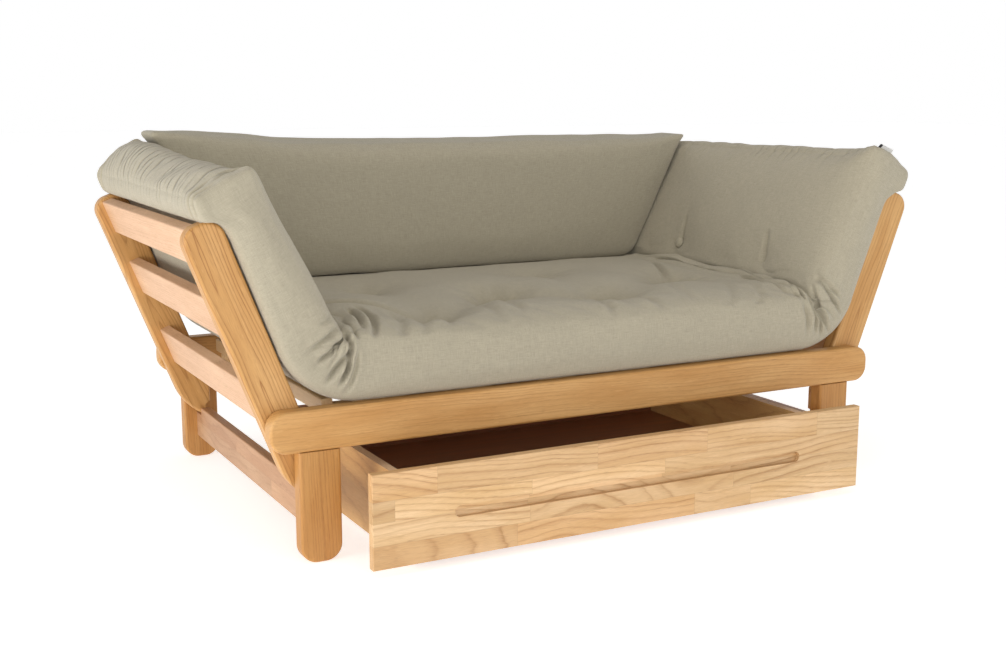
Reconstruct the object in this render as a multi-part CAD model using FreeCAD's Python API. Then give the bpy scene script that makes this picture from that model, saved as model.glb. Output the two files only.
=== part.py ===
import FreeCAD, Part
import math
import os

# Futon sofa bed. Millimetres. X runs along the length, Y to the back, Z up from the floor.
# The frame is laid out about its own middle (x = 0, y = 0 at mid depth). Everything is then moved
# back by STAND_BACK, so that the origin is the middle of the footprint with the drawer as it stands.

V = FreeCAD.Vector
X_AXIS = V(1, 0, 0)
Y_AXIS = V(0, 1, 0)
ORIGIN = V(0, 0, 0)

# ---- driving dimensions: frame ----
FRAME_LENGTH = 1404.0       # rails, end to end
FRAME_DEPTH = 860.0         # over the outer faces of the rails
TIMBER_T = 36.0             # thickness of rails, legs and arm boards
RAIL_H = 78.0
LEG_H = 212.0               # floor to underside of rail
LEG_W = 80.0
LEG_INSET = 53.0            # rail end to leg
CORNER_R = 32.0             # rounded ends of rails, legs and arm boards
EASE_R = 6.0                # rounded long edges of the main timbers
TENON_T = 14.0
TENON_L = 24.0              # leg tenon in rail
TENON_SHOULDER = 12.0

STRETCHER_T = 22.0
STRETCHER_Z = 52.0
STRETCHER_H = 75.0
STRETCHER_TENON = 14.0
STRETCHER_TENON_INSET = 5.0 # from each face of the stretcher
HOUSING_CLEAR = 2.0         # room round the arm tip in the stretcher's housing

# ---- driving dimensions: seat base ----
SLAT_T = 22.0
SLAT_W = 80.0
SLAT_COUNT = 6
SLAT_INSET = 160.0          # pivot to the outer edge of the first and last slats
LEDGER_H = 30.0
LEDGER_T = 22.0
BEARER_T = 22.0
BEARER_H = 42.0
BEARER_INSET = 56.0         # inner face of the arm boards to the middle of each bearer
END_MEMBER_INSET = 82.0     # pivot to the outer face of each seat end member
END_MEMBER_T = 22.0
END_MEMBER_H = 30.0
SLAT_EASE_R = 3.0
FIT_GAP = 1.0               # gap left round pieces that drop between the rails

# ---- driving dimensions: arms ----
PIVOT_INSET = 42.0          # rail end to pivot
ARM_LEAN = 21.0             # degrees from upright
ARM_FOLD = 90.0 - ARM_LEAN  # degrees from the upright rest to flat
BOARD_W = 76.0
BOARD_TOP = 406.0           # pivot to top of board
HOOK_REACH = 64.5           # pivot to the tip's inner face, across
HOOK_DROP = 139.0           # pivot to the bottom of the tip, down
HOOK_FLAT = 17.5            # width of the flat at the bottom of the tip
HOOK_BACK_R = 125.5         # long curve on the back of the tip
HOOK_LIP_CUT = 8.5          # lip under the notch stands back by this
NOTCH_UP = 18.0             # notch centre above the bottom of the tip
ARM_GAP = 1.0               # rail to arm board
ARM_SLAT_T = 24.0
ARM_SLAT_V = -18.0          # outer face of the arm slats, from the board's middle line
ARM_SLATS = ((-4.0, 82.0), (175.0, 254.0), (325.0, 399.0))
ARM_TENON = 14.0
ARM_TENON_T = 12.0
ARM_TENON_SHOULDER = 18.0   # keeps the lowest tenon clear of the pivot's sunk head

PIN_R = 6.0
PIN_RUNNING_CLEAR = 0.05
PIN_HEAD_R = 11.0
PIN_HEAD_T = 4.5
PIN_HEAD_CLEAR = 1.0
PIN_HEAD_SINK = 0.5         # head stands this far under the board's face, and off the sink's floor
PIN_IN_RAIL = 26.0
DOWEL_R = 10.0
NOTCH_CLEAR = 2.0
DOWEL_IN_RAIL = 20.0
DOWEL_EASE_R = 1.5

# ---- driving dimensions: futon and back cushion ----
FUTON_INSET = 5.0           # stands back from the rails' outer faces
SEAT_T = 140.0
PAD_T = 119.5               # arm section, near the fold
PAD_END_V = 127.0           # inner face at the free end, from the board's middle line
PAD_LENGTH = 467.0          # pivot to the free end
PAD_END_DROP = 15.0         # the free end slopes back by this
PAD_OVERHANG_V = 4.0        # the free end comes this far out over the board tops
PAD_OVERHANG_RISE = 6.0     # its underside climbs by this towards its outer edge
SOFT_GAP = 0.5
BACK_T = 125.0
BACK_TOP = 752.0

# ---- driving dimensions: drawer ----
DRAWER_OUT = 132.0          # how far it stands open at rest
DRAWER_SIDE_GAP = 6.0       # front panel to leg
FRONT_Z = 16.5
FRONT_H = 177.0
FRONT_T = 19.0
FRONT_EASE_R = 1.5
GROOVE_INSET = 162.0        # front panel's end to the end of the finger groove
GROOVE_H = 22.0
GROOVE_D = 10.0
GROOVE_Z = 103.0
BOX_INSET = 73.0            # front panel's end to the side of the box
BOX_BACK_ROOM = 206.0       # frame depth, less the box behind the front panel
BOX_T = 18.0
BOX_Z = 15.0
BOX_H = 153.0
BOTTOM_T = 9.0
BOTTOM_GROOVE = 6.0
WHEEL_R = 20.0
WHEEL_W = 18.0
WHEEL_EASE_R = 2.5
WHEEL_TOP_CLEAR = 2.5       # wheel to the castor plate over it
AXLE_R = 3.0
AXLE_CLEAR = 0.05
AXLE_HEAD_R = 4.5
AXLE_HEAD_T = 1.2
CHEEK_T = 2.5
CHEEK_GAP = 1.0             # wheel to cheek
CHEEK_TOP_HALF = 16.0       # half width of a cheek at the plate
CHEEK_LOW_HALF = 7.0        # and at its lower end
CHEEK_BELOW_AXLE = 8.0
CASTOR_PLATE = 56.0
CASTOR_SIDE = 90.0          # from the side of the box
CASTOR_INSET = 90.0         # from the front panel and from the back of the box
CASTOR_SCREW_R = 1.75
CASTOR_SCREW_HEAD_R = 3.5
CASTOR_SCREW_HEAD_T = 1.8
CASTOR_SCREW_INSET = 8.0

SCREW_R = 2.2
SCREW_HEAD_R = 4.2
SCREW_HEAD_T = 2.6
SCREW_L = 40.0

PAST = 1.0                  # a cut runs this far past the face it opens

# ---- worked out ----
HALF_L = FRAME_LENGTH / 2
RAIL_OUT = FRAME_DEPTH / 2
RAIL_IN = RAIL_OUT - TIMBER_T
RAIL_TOP = LEG_H + RAIL_H
LEG_OUT = HALF_L - LEG_INSET
LEG_IN = LEG_OUT - LEG_W
LEG_MID = (LEG_OUT + LEG_IN) / 2
PIVOT_X = HALF_L - PIVOT_INSET
PIVOT_Z = LEG_H + RAIL_H / 2
SLAT_FIELD = 2 * (PIVOT_X - SLAT_INSET)
END_MEMBER_X = PIVOT_X - END_MEMBER_INSET
BOARD_OUT = RAIL_IN - ARM_GAP
BOARD_IN = BOARD_OUT - TIMBER_T
BEARER_Y = BOARD_IN - BEARER_INSET
FUTON_DEPTH = FRAME_DEPTH - 2 * FUTON_INSET
BOARD_HALF = BOARD_W / 2
PAD_BACK_V = RAIL_H / 2 + 2 * SOFT_GAP      # arm section's back, which clears the rail when flat
SLAT_BOTTOM = RAIL_TOP - SLAT_T
SEAT_TOP = RAIL_TOP + SEAT_T
STAND_BACK = DRAWER_OUT / 2
FRONT_HALF = LEG_IN - DRAWER_SIDE_GAP
GROOVE_L = 2 * (FRONT_HALF - GROOVE_INSET)
BOX_W = 2 * (FRONT_HALF - BOX_INSET)
BOX_L = FRAME_DEPTH - BOX_BACK_ROOM
CASTOR_X = BOX_W / 2 - CASTOR_SIDE
BOTTOM_TOP = 2 * WHEEL_R + WHEEL_TOP_CLEAR + CHEEK_T + BOTTOM_T
BOX_Y0 = -RAIL_OUT + FRONT_T
BOX_Y1 = BOX_Y0 + BOX_L
LEAN = math.radians(ARM_LEAN)
FOLD = math.radians(ARM_FOLD)


def box(x, y, z):
    """A block between the given (low, high) pairs."""
    return Part.makeBox(x[1] - x[0], y[1] - y[0], z[1] - z[0], V(x[0], y[0], z[0]))


def rod(radius, start, end):
    """A cylinder from start to end."""
    along = end - start
    return Part.makeCylinder(radius, along.Length, start, along)


def outline_along_y(points, y):
    """A prism: straight-sided outline of (x, z) points, between two depths."""
    corners = [V(px, y[0], pz) for px, pz in points]
    face = Part.Face(Part.makePolygon(corners + corners[:1]))
    return face.extrude(V(0, y[1] - y[0], 0))


def runs_along(edge, axis):
    start, end = edge.Vertexes[0].Point, edge.Vertexes[-1].Point
    along = end - start
    return along.Length > 0 and abs(along.normalize().dot(axis)) > 0.999


def on_broad_face(edge, y):
    """True where the whole edge lies in the plane of one broad face."""
    return all(any(abs(v.Point.y - side) < 0.01 for side in y) for v in edge.Vertexes) \
        and abs(edge.Vertexes[0].Point.y - edge.Vertexes[-1].Point.y) < 0.01


def round_corners(block, radius, keep=lambda point: True):
    """Rounds the corners seen from the front, where keep(corner point) holds."""
    picked = [e for e in block.Edges if runs_along(e, Y_AXIS) and keep(e.Vertexes[0].Point)]
    return block.makeFillet(radius, picked)


def ease_outline(block, radius, y, keep=lambda edge: True):
    """Rounds the long edges round both broad faces."""
    picked = [e for e in block.Edges if on_broad_face(e, y) and keep(e)]
    return block.makeFillet(radius, picked)


def ease_bar(block, radius, axis):
    """Rounds the long edges of a bar that runs along axis."""
    return block.makeFillet(radius, [e for e in block.Edges if runs_along(e, axis)])


def mirrored_x(shape):
    return shape.mirror(ORIGIN, X_AXIS)


def mirrored_y(shape):
    return shape.mirror(ORIGIN, Y_AXIS)


def arm_uv(dx, dz):
    """Arm coordinates of a point, from its offset to the left pivot with the arm upright."""
    across = dx * math.cos(LEAN) + dz * math.sin(LEAN)
    along = -dx * math.sin(LEAN) + dz * math.cos(LEAN)
    return across, along


def arm_point(across, along):
    """The place (x, z) at rest of a point given in the left arm's coordinates."""
    x = -PIVOT_X + across * math.cos(LEAN) - along * math.sin(LEAN)
    z = PIVOT_Z + across * math.sin(LEAN) + along * math.cos(LEAN)
    return x, z


def lean_over(shape):
    """Takes a left arm piece from arm coordinates (X across, Z along) to its place at rest."""
    placed = shape.copy()
    placed.rotate(ORIGIN, Y_AXIS, -ARM_LEAN)
    placed.translate(V(-PIVOT_X, 0, PIVOT_Z))
    return placed


# ---- frame ----

def leg_tenon():
    """Front left leg's tenon, which is also the shape of the rail's mortise."""
    y_mid = -RAIL_OUT + TIMBER_T / 2
    return box((-LEG_OUT + TENON_SHOULDER, -LEG_IN - TENON_SHOULDER),
               (y_mid - TENON_T / 2, y_mid + TENON_T / 2), (LEG_H, LEG_H + TENON_L))


def stretcher_tenon():
    """Tenon at the front end of the left stretcher."""
    return box((-LEG_MID - STRETCHER_T / 2 + STRETCHER_TENON_INSET,
                -LEG_MID + STRETCHER_T / 2 - STRETCHER_TENON_INSET),
               (-RAIL_IN - STRETCHER_TENON, -RAIL_IN),
               (STRETCHER_Z + TENON_SHOULDER, STRETCHER_Z + STRETCHER_H - 2 * TENON_SHOULDER))


def front_left_leg():
    y = (-RAIL_OUT, -RAIL_IN)
    leg = box((-LEG_OUT, -LEG_IN), y, (0, LEG_H))
    leg = round_corners(leg, CORNER_R, lambda p: p.z < 1)
    leg = ease_outline(leg, EASE_R, y, lambda e: min(v.Point.z for v in e.Vertexes) < LEG_H - PAST)
    return leg.fuse(leg_tenon()).cut(stretcher_tenon()).removeSplitter()


def notch_centre():
    return arm_uv(HOOK_REACH, -HOOK_DROP + NOTCH_UP)


def stop_dowel():
    """Left front stop: it lies where the tip's notch arrives when the arm is folded flat."""
    across, along = notch_centre()
    dx = across * math.cos(LEAN + FOLD) - along * math.sin(LEAN + FOLD)
    dz = across * math.sin(LEAN + FOLD) + along * math.cos(LEAN + FOLD)
    x, z = -PIVOT_X + dx, PIVOT_Z + dz
    dowel = rod(DOWEL_R, V(x, -RAIL_IN - DOWEL_IN_RAIL, z), V(x, -BOARD_IN, z))
    free_end = [e for e in dowel.Edges if e.Closed and abs(e.CenterOfMass.y + BOARD_IN) < 0.01]
    return dowel.makeFillet(DOWEL_EASE_R, free_end)


def pivot_pin():
    """Left front pivot: a pin fast in the rail, with its head sunk in the arm board."""
    head_y = -BOARD_IN - PIN_HEAD_SINK
    shank = rod(PIN_R, V(-PIVOT_X, -RAIL_IN - PIN_IN_RAIL, PIVOT_Z), V(-PIVOT_X, head_y, PIVOT_Z))
    head = rod(PIN_HEAD_R, V(-PIVOT_X, head_y - PIN_HEAD_T, PIVOT_Z), V(-PIVOT_X, head_y, PIVOT_Z))
    return shank.fuse(head).removeSplitter()


def front_rail():
    y = (-RAIL_OUT, -RAIL_IN)
    rail = box((-HALF_L, HALF_L), y, (LEG_H, RAIL_TOP))
    rail = ease_outline(round_corners(rail, CORNER_R), EASE_R, y)
    for piece in (leg_tenon(), stop_dowel(), pivot_pin()):
        rail = rail.cut(piece).cut(mirrored_x(piece))
    for screw in slat_screws():
        rail = rail.cut(screw)
    return rail


def left_stretcher():
    rail = box((-LEG_MID - STRETCHER_T / 2, -LEG_MID + STRETCHER_T / 2), (-RAIL_IN, RAIL_IN),
               (STRETCHER_Z, STRETCHER_Z + STRETCHER_H))
    rail = ease_bar(rail, SLAT_EASE_R, Y_AXIS)
    housing_floor = PIVOT_Z - HOOK_DROP - HOUSING_CLEAR
    housing = box((-LEG_MID - STRETCHER_T, -LEG_MID + STRETCHER_T),
                  (-RAIL_IN, -BOARD_IN + HOUSING_CLEAR), (housing_floor, LEG_H))
    tenon = stretcher_tenon()
    rail = rail.cut(housing).cut(mirrored_y(housing))
    return rail.fuse(tenon).fuse(mirrored_y(tenon)).removeSplitter()


def slat_middles():
    pitch = (SLAT_FIELD - SLAT_W) / (SLAT_COUNT - 1)
    return [-SLAT_FIELD / 2 + SLAT_W / 2 + i * pitch for i in range(SLAT_COUNT)]


def screw_down(x, y, top):
    """A countersunk screw standing in a slat, head flush with the top."""
    head = Part.makeCone(SCREW_R, SCREW_HEAD_R, SCREW_HEAD_T, V(x, y, top - SCREW_HEAD_T))
    shank = rod(SCREW_R, V(x, y, top - SCREW_L), V(x, y, top - SCREW_HEAD_T))
    return shank.fuse(head).removeSplitter()


def slat_screws():
    """The front row of screws, one through each slat into the ledger."""
    return [screw_down(x, -RAIL_IN + LEDGER_T / 2, RAIL_TOP) for x in slat_middles()]


def front_ledger():
    ledger = box((-SLAT_FIELD / 2, SLAT_FIELD / 2), (-RAIL_IN, -RAIL_IN + LEDGER_T),
                 (SLAT_BOTTOM - LEDGER_H, SLAT_BOTTOM))
    for screw in slat_screws():
        ledger = ledger.cut(screw)
    return ledger


def seat_slat(x):
    half = RAIL_IN - FIT_GAP
    slat = box((x - SLAT_W / 2, x + SLAT_W / 2), (-half, half), (SLAT_BOTTOM, RAIL_TOP))
    slat = ease_bar(slat, SLAT_EASE_R, Y_AXIS)
    for screw in slat_screws():
        slat = slat.cut(screw).cut(mirrored_y(screw))
    return slat


def left_end_member():
    half = BOARD_IN - 2 * FIT_GAP
    member = box((-END_MEMBER_X, -END_MEMBER_X + END_MEMBER_T), (-half, half),
                 (RAIL_TOP - END_MEMBER_H, RAIL_TOP))
    return ease_bar(member, SLAT_EASE_R, Y_AXIS)


def front_bearer():
    bearer = box((-END_MEMBER_X, END_MEMBER_X),
                 (-BEARER_Y - BEARER_T / 2, -BEARER_Y + BEARER_T / 2),
                 (SLAT_BOTTOM - BEARER_H, SLAT_BOTTOM))
    seat = box((-END_MEMBER_X, -END_MEMBER_X + END_MEMBER_T), (-BEARER_Y - BEARER_T, BEARER_T - BEARER_Y),
               (RAIL_TOP - END_MEMBER_H, SLAT_BOTTOM))
    return bearer.cut(seat).cut(mirrored_x(seat))


# ---- arms ----

def hook_outline():
    """The arm board's outline in arm coordinates, with a hooked tip at the bottom."""
    inner_top = arm_uv(HOOK_REACH, 0)
    drop = (BOARD_HALF - inner_top[0]) / math.sin(LEAN)
    flat_top = arm_uv(HOOK_REACH, drop)
    flat_end = arm_uv(HOOK_REACH, -HOOK_DROP)
    tip_back = arm_uv(HOOK_REACH - HOOK_FLAT, -HOOK_DROP)
    centre = (HOOK_BACK_R - BOARD_HALF,
              tip_back[1] + math.sqrt(HOOK_BACK_R ** 2 - (tip_back[0] + BOARD_HALF - HOOK_BACK_R) ** 2))
    mid = math.radians(180) + math.atan2(centre[1] - tip_back[1], centre[0] - tip_back[0]) / 2
    arc_mid = (centre[0] + HOOK_BACK_R * math.cos(mid), centre[1] + HOOK_BACK_R * math.sin(mid))
    back_start = (-BOARD_HALF, centre[1])

    def point(uv):
        return V(uv[0], 0, uv[1])

    top_left = V(-BOARD_HALF, 0, BOARD_TOP)
    top_right = V(BOARD_HALF, 0, BOARD_TOP)
    edges = [Part.makeLine(point(back_start), top_left), Part.makeLine(top_left, top_right),
             Part.makeLine(top_right, point(flat_top)), Part.makeLine(point(flat_top), point(flat_end)),
             Part.makeLine(point(flat_end), point(tip_back)),
             Part.Arc(point(tip_back), point(arc_mid), point(back_start)).toShape()]
    return Part.Face(Part.Wire(edges))


def notch_cut():
    """The half-round notch and the step under it, in arm coordinates, as tall as the timber."""
    across, along = notch_centre()
    radius = DOWEL_R + NOTCH_CLEAR
    notch = rod(radius, V(across, -BOARD_OUT - PAST, along), V(across, -BOARD_IN + PAST, along))
    corners = [arm_uv(HOOK_REACH - HOOK_LIP_CUT, -HOOK_DROP - PAST),
               arm_uv(HOOK_REACH + BOARD_W, -HOOK_DROP - PAST),
               arm_uv(HOOK_REACH + BOARD_W, -HOOK_DROP + NOTCH_UP),
               arm_uv(HOOK_REACH - HOOK_LIP_CUT, -HOOK_DROP + NOTCH_UP)]
    return notch.fuse(outline_along_y(corners, (-BOARD_OUT - PAST, -BOARD_IN + PAST)))


def arm_slat_parts(low, high):
    """One arm slat and its front tenon, in arm coordinates."""
    across = (ARM_SLAT_V, ARM_SLAT_V + ARM_SLAT_T)
    bar = ease_bar(box(across, (-BOARD_IN, BOARD_IN), (low, high)), SLAT_EASE_R, Y_AXIS)
    inset = (ARM_SLAT_T - ARM_TENON_T) / 2
    tenon = box((across[0] + inset, across[1] - inset), (-BOARD_IN - ARM_TENON, -BOARD_IN),
                (low + ARM_TENON_SHOULDER, high - ARM_TENON_SHOULDER))
    return bar, tenon


def front_arm_board():
    """The left arm's front board, in arm coordinates."""
    y = (-BOARD_OUT, -BOARD_IN)
    board = hook_outline().extrude(V(0, TIMBER_T, 0))
    board.translate(V(0, -BOARD_OUT, 0))
    board = round_corners(board, CORNER_R, lambda p: p.z > BOARD_TOP - PAST)
    board = ease_outline(board, EASE_R, y)
    board = board.cut(notch_cut())
    for low, high in ARM_SLATS:
        board = board.cut(arm_slat_parts(low, high)[1])
    bore = rod(PIN_R + PIN_RUNNING_CLEAR, V(0, -BOARD_OUT - PAST, 0), V(0, -BOARD_IN + PAST, 0))
    sink_depth = PIN_HEAD_T + 2 * PIN_HEAD_SINK
    sink = rod(PIN_HEAD_R + PIN_HEAD_CLEAR, V(0, -BOARD_IN - sink_depth, 0), V(0, -BOARD_IN + PAST, 0))
    return board.cut(bore).cut(sink)


def arm_slat(low, high):
    bar, tenon = arm_slat_parts(low, high)
    return bar.fuse(tenon).fuse(mirrored_y(tenon)).removeSplitter()


# ---- futon and back cushion ----

def fold_line():
    """Low and high points (x, z) of the mitre where the left arm section meets the seat."""
    low_along = (RAIL_TOP - PIVOT_Z - PAD_BACK_V * math.sin(LEAN)) / math.cos(LEAN)
    inner = PAD_BACK_V + PAD_T
    high_along = (SEAT_TOP - PIVOT_Z - inner * math.sin(LEAN)) / math.cos(LEAN)
    return arm_point(PAD_BACK_V, low_along), arm_point(inner, high_along)


def seat_section():
    (x0, z0), (x1, z1) = fold_line()
    shift = 2 * SOFT_GAP
    half = FUTON_DEPTH / 2
    outline = [(x0 + shift, z0), (-x0 - shift, z0), (-x1 - shift, z1), (x1 + shift, z1)]
    return outline_along_y(outline, (-half, half))


def left_arm_section():
    (x0, z0), (x1, z1) = fold_line()
    half = FUTON_DEPTH / 2
    low = arm_uv(x0 + PIVOT_X, z0 - PIVOT_Z)[1] + 3 * SOFT_GAP
    high = arm_uv(x1 + PIVOT_X, z1 - PIVOT_Z)[1] + 3 * SOFT_GAP
    over = BOARD_TOP + 4 * SOFT_GAP
    outline = [(PAD_BACK_V, low), (PAD_BACK_V, over), (PAD_OVERHANG_V, over + PAD_OVERHANG_RISE),
               (PAD_OVERHANG_V, PAD_LENGTH - PAD_END_DROP), (PAD_END_V, PAD_LENGTH),
               (PAD_BACK_V + PAD_T, high)]
    return lean_over(outline_along_y(outline, (-half, half)))


def back_cushion():
    """A tall block wedged between the arm sections, standing on the rear of the seat."""
    fold_x, fold_z = fold_line()[1]
    end_x, end_z = arm_point(PAD_END_V, PAD_LENGTH)
    slope = (end_x - fold_x) / (end_z - fold_z)
    low = SEAT_TOP + SOFT_GAP
    inset = 4 * SOFT_GAP
    x_low = fold_x + (low - fold_z) * slope + inset
    x_high = fold_x + (BACK_TOP - fold_z) * slope + inset
    outline = [(x_low, low), (-x_low, low), (-x_high, BACK_TOP), (x_high, BACK_TOP)]
    half = FUTON_DEPTH / 2
    return outline_along_y(outline, (half - BACK_T, half))


# ---- drawer, laid out shut and then pulled out ----

def drawer_front():
    y = (-RAIL_OUT, -RAIL_OUT + FRONT_T)
    panel = box((-FRONT_HALF, FRONT_HALF), y, (FRONT_Z, FRONT_Z + FRONT_H))
    panel = ease_outline(panel, FRONT_EASE_R, y)
    r = GROOVE_H / 2
    straight = GROOVE_L / 2 - r
    depth = (-RAIL_OUT - PAST, -RAIL_OUT + GROOVE_D)
    groove = box((-straight, straight), depth, (GROOVE_Z - r, GROOVE_Z + r))
    for x in (-straight, straight):
        groove = groove.fuse(rod(r, V(x, depth[0], GROOVE_Z), V(x, depth[1], GROOVE_Z)))
    panel = panel.cut(groove.removeSplitter())
    return panel.cut(drawer_bottom())


def drawer_bottom():
    """Let into a groove in the front, the sides and the back."""
    half = BOX_W / 2 - BOX_T + BOTTOM_GROOVE
    return box((-half, half), (BOX_Y0 - BOTTOM_GROOVE, BOX_Y1 - BOX_T + BOTTOM_GROOVE),
               (BOTTOM_TOP - BOTTOM_T, BOTTOM_TOP))


def drawer_left_side():
    side = box((-BOX_W / 2, -BOX_W / 2 + BOX_T), (BOX_Y0, BOX_Y1), (BOX_Z, BOX_Z + BOX_H))
    return side.cut(drawer_bottom())


def drawer_back():
    half = BOX_W / 2 - BOX_T
    back = box((-half, half), (BOX_Y1 - BOX_T, BOX_Y1), (BOX_Z, BOX_Z + BOX_H))
    return back.cut(drawer_bottom())


def castor_spots():
    """Name and (x, y) of each castor under the drawer."""
    spots = []
    for end, y in (("front", BOX_Y0 + CASTOR_INSET), ("rear", BOX_Y1 - CASTOR_INSET)):
        for hand, x in (("left", -CASTOR_X), ("right", CASTOR_X)):
            spots.append((end + "_" + hand, x, y))
    return spots


def castor_wheel(x, y):
    start, end = V(x - WHEEL_W / 2, y, WHEEL_R), V(x + WHEEL_W / 2, y, WHEEL_R)
    wheel = rod(WHEEL_R, start, end)
    wheel = wheel.makeFillet(WHEEL_EASE_R, [e for e in wheel.Edges if e.Closed])
    return wheel.cut(rod(AXLE_R + AXLE_CLEAR, start - X_AXIS, end + X_AXIS))


def castor_axle(x, y):
    reach = WHEEL_W / 2 + CHEEK_GAP + CHEEK_T
    shaft = rod(AXLE_R, V(x - reach, y, WHEEL_R), V(x + reach, y, WHEEL_R))
    for side in (-1, 1):
        face = V(x + side * reach, y, WHEEL_R)
        shaft = shaft.fuse(rod(AXLE_HEAD_R, face, face + X_AXIS * (side * AXLE_HEAD_T)))
    return shaft.removeSplitter()


def castor_screw_list(x, y):
    """Four short screws that hold one castor's plate to the drawer's bottom."""
    under = BOTTOM_TOP - BOTTOM_T
    reach = CASTOR_PLATE / 2 - CASTOR_SCREW_INSET
    screws = []
    for dx in (-reach, reach):
        for dy in (-reach, reach):
            foot = V(x + dx, y + dy, under - CHEEK_T)
            head = rod(CASTOR_SCREW_HEAD_R, foot - V(0, 0, CASTOR_SCREW_HEAD_T), foot)
            shank = rod(CASTOR_SCREW_R, foot, foot + V(0, 0, CHEEK_T + BOTTOM_T - PAST))
            screws.append(head.fuse(shank).removeSplitter())
    return screws


def castor_bracket(x, y):
    under = BOTTOM_TOP - BOTTOM_T
    half = CASTOR_PLATE / 2
    bracket = box((x - half, x + half), (y - half, y + half), (under - CHEEK_T, under))
    inner = WHEEL_W / 2 + CHEEK_GAP
    for side in (-1, 1):
        near, far = sorted((x + side * inner, x + side * (inner + CHEEK_T)))
        low = WHEEL_R - CHEEK_BELOW_AXLE
        outline = [(y - CHEEK_TOP_HALF, under - CHEEK_T), (y + CHEEK_TOP_HALF, under - CHEEK_T),
                   (y + CHEEK_LOW_HALF, low), (y - CHEEK_LOW_HALF, low)]
        corners = [V(near, py, pz) for py, pz in outline]
        cheek = Part.Face(Part.makePolygon(corners + corners[:1])).extrude(V(far - near, 0, 0))
        bracket = bracket.fuse(cheek)
    bracket = bracket.cut(castor_axle(x, y))
    for screw in castor_screw_list(x, y):
        bracket = bracket.cut(screw)
    return bracket.removeSplitter()


# ---- all the nodes ----

def frame_nodes():
    front = front_rail()
    leg = front_left_leg()
    stretcher = left_stretcher()
    ledger = front_ledger()
    bearer = front_bearer()
    member = left_end_member()
    nodes = {"front_rail": front, "rear_rail": mirrored_y(front),
             "leg_front_left": leg, "leg_front_right": mirrored_x(leg),
             "leg_rear_left": mirrored_y(leg), "leg_rear_right": mirrored_x(mirrored_y(leg)),
             "stretcher_left": stretcher, "stretcher_right": mirrored_x(stretcher),
             "ledger_front": ledger, "ledger_rear": mirrored_y(ledger),
             "seat_bearer_front": bearer, "seat_bearer_rear": mirrored_y(bearer),
             "seat_end_left": member, "seat_end_right": mirrored_x(member)}
    for i, x in enumerate(slat_middles()):
        nodes["seat_slat_%d" % (i + 1)] = seat_slat(x)
    screws = slat_screws()
    nodes["slat_screws"] = Part.makeCompound(screws + [mirrored_y(s) for s in screws])
    for name, piece in (("pivot_pin", pivot_pin()), ("stop_dowel", stop_dowel())):
        nodes[name + "_front_left"] = piece
        nodes[name + "_front_right"] = mirrored_x(piece)
        nodes[name + "_rear_left"] = mirrored_y(piece)
        nodes[name + "_rear_right"] = mirrored_x(mirrored_y(piece))
    nodes["futon_seat"] = seat_section()
    nodes["back_cushion"] = back_cushion()
    return nodes


def arm_nodes():
    board = lean_over(front_arm_board())
    section = left_arm_section()
    nodes = {}
    for hand, turn in (("left", lambda s: s), ("right", mirrored_x)):
        nodes["arm_%s_board_front" % hand] = turn(board)
        nodes["arm_%s_board_rear" % hand] = turn(mirrored_y(board))
        for place, (low, high) in zip(("bottom", "middle", "top"), ARM_SLATS):
            nodes["arm_%s_slat_%s" % (hand, place)] = turn(lean_over(arm_slat(low, high)))
        nodes["futon_arm_%s" % hand] = turn(section)
    return nodes


def drawer_nodes():
    side = drawer_left_side()
    bottom = drawer_bottom()
    nodes = {"drawer_front": drawer_front(), "drawer_side_left": side,
             "drawer_side_right": mirrored_x(side), "drawer_back": drawer_back()}
    axles, screws = [], []
    for name, x, y in castor_spots():
        nodes["castor_bracket_" + name] = castor_bracket(x, y)
        nodes["castor_wheel_" + name] = castor_wheel(x, y)
        axles.append(castor_axle(x, y))
        for screw in castor_screw_list(x, y):
            screws.append(screw)
            bottom = bottom.cut(screw)
    nodes["drawer_bottom"] = bottom
    nodes["castor_axles"] = Part.makeCompound(axles)
    nodes["castor_screws"] = Part.makeCompound(screws)
    for shape in nodes.values():
        shape.translate(V(0, -DRAWER_OUT, 0))
    return nodes


def write_all():
    os.makedirs("parts", exist_ok=True)
    nodes = {}
    for group in (frame_nodes(), arm_nodes(), drawer_nodes()):
        nodes.update(group)
    whole = None
    for name, shape in nodes.items():
        shape.translate(V(0, STAND_BACK, 0))
        if not shape.isValid() or shape.Volume <= 0:
            raise ValueError(name + " is not a valid solid")
        shape.exportStep("parts/%s.step" % name)
        whole = shape.BoundBox if whole is None else whole.united(shape.BoundBox)
    print(len(nodes), "nodes, box", whole)


write_all()
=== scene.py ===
"""Looks of the futon sofa bed: oak frame, linen futon that bends over both arm hinges, back cushion."""
import math

import bpy
import numpy as np
from mathutils import Matrix, Vector


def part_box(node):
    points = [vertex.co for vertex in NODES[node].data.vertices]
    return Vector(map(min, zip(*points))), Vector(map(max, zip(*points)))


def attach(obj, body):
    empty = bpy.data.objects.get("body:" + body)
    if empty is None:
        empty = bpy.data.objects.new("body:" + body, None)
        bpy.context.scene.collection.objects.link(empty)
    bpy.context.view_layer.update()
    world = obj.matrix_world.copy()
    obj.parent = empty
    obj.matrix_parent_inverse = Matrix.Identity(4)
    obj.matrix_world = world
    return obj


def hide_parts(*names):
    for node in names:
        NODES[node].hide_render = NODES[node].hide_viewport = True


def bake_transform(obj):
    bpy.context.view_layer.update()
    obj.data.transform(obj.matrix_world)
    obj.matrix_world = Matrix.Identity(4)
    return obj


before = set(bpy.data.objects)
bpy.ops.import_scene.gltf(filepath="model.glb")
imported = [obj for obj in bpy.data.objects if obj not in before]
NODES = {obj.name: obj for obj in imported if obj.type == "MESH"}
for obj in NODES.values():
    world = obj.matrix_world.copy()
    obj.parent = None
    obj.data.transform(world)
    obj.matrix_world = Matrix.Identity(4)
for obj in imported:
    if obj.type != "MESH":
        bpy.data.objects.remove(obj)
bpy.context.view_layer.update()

# ---------------------------------------------------------------- stage, camera, lights

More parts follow.
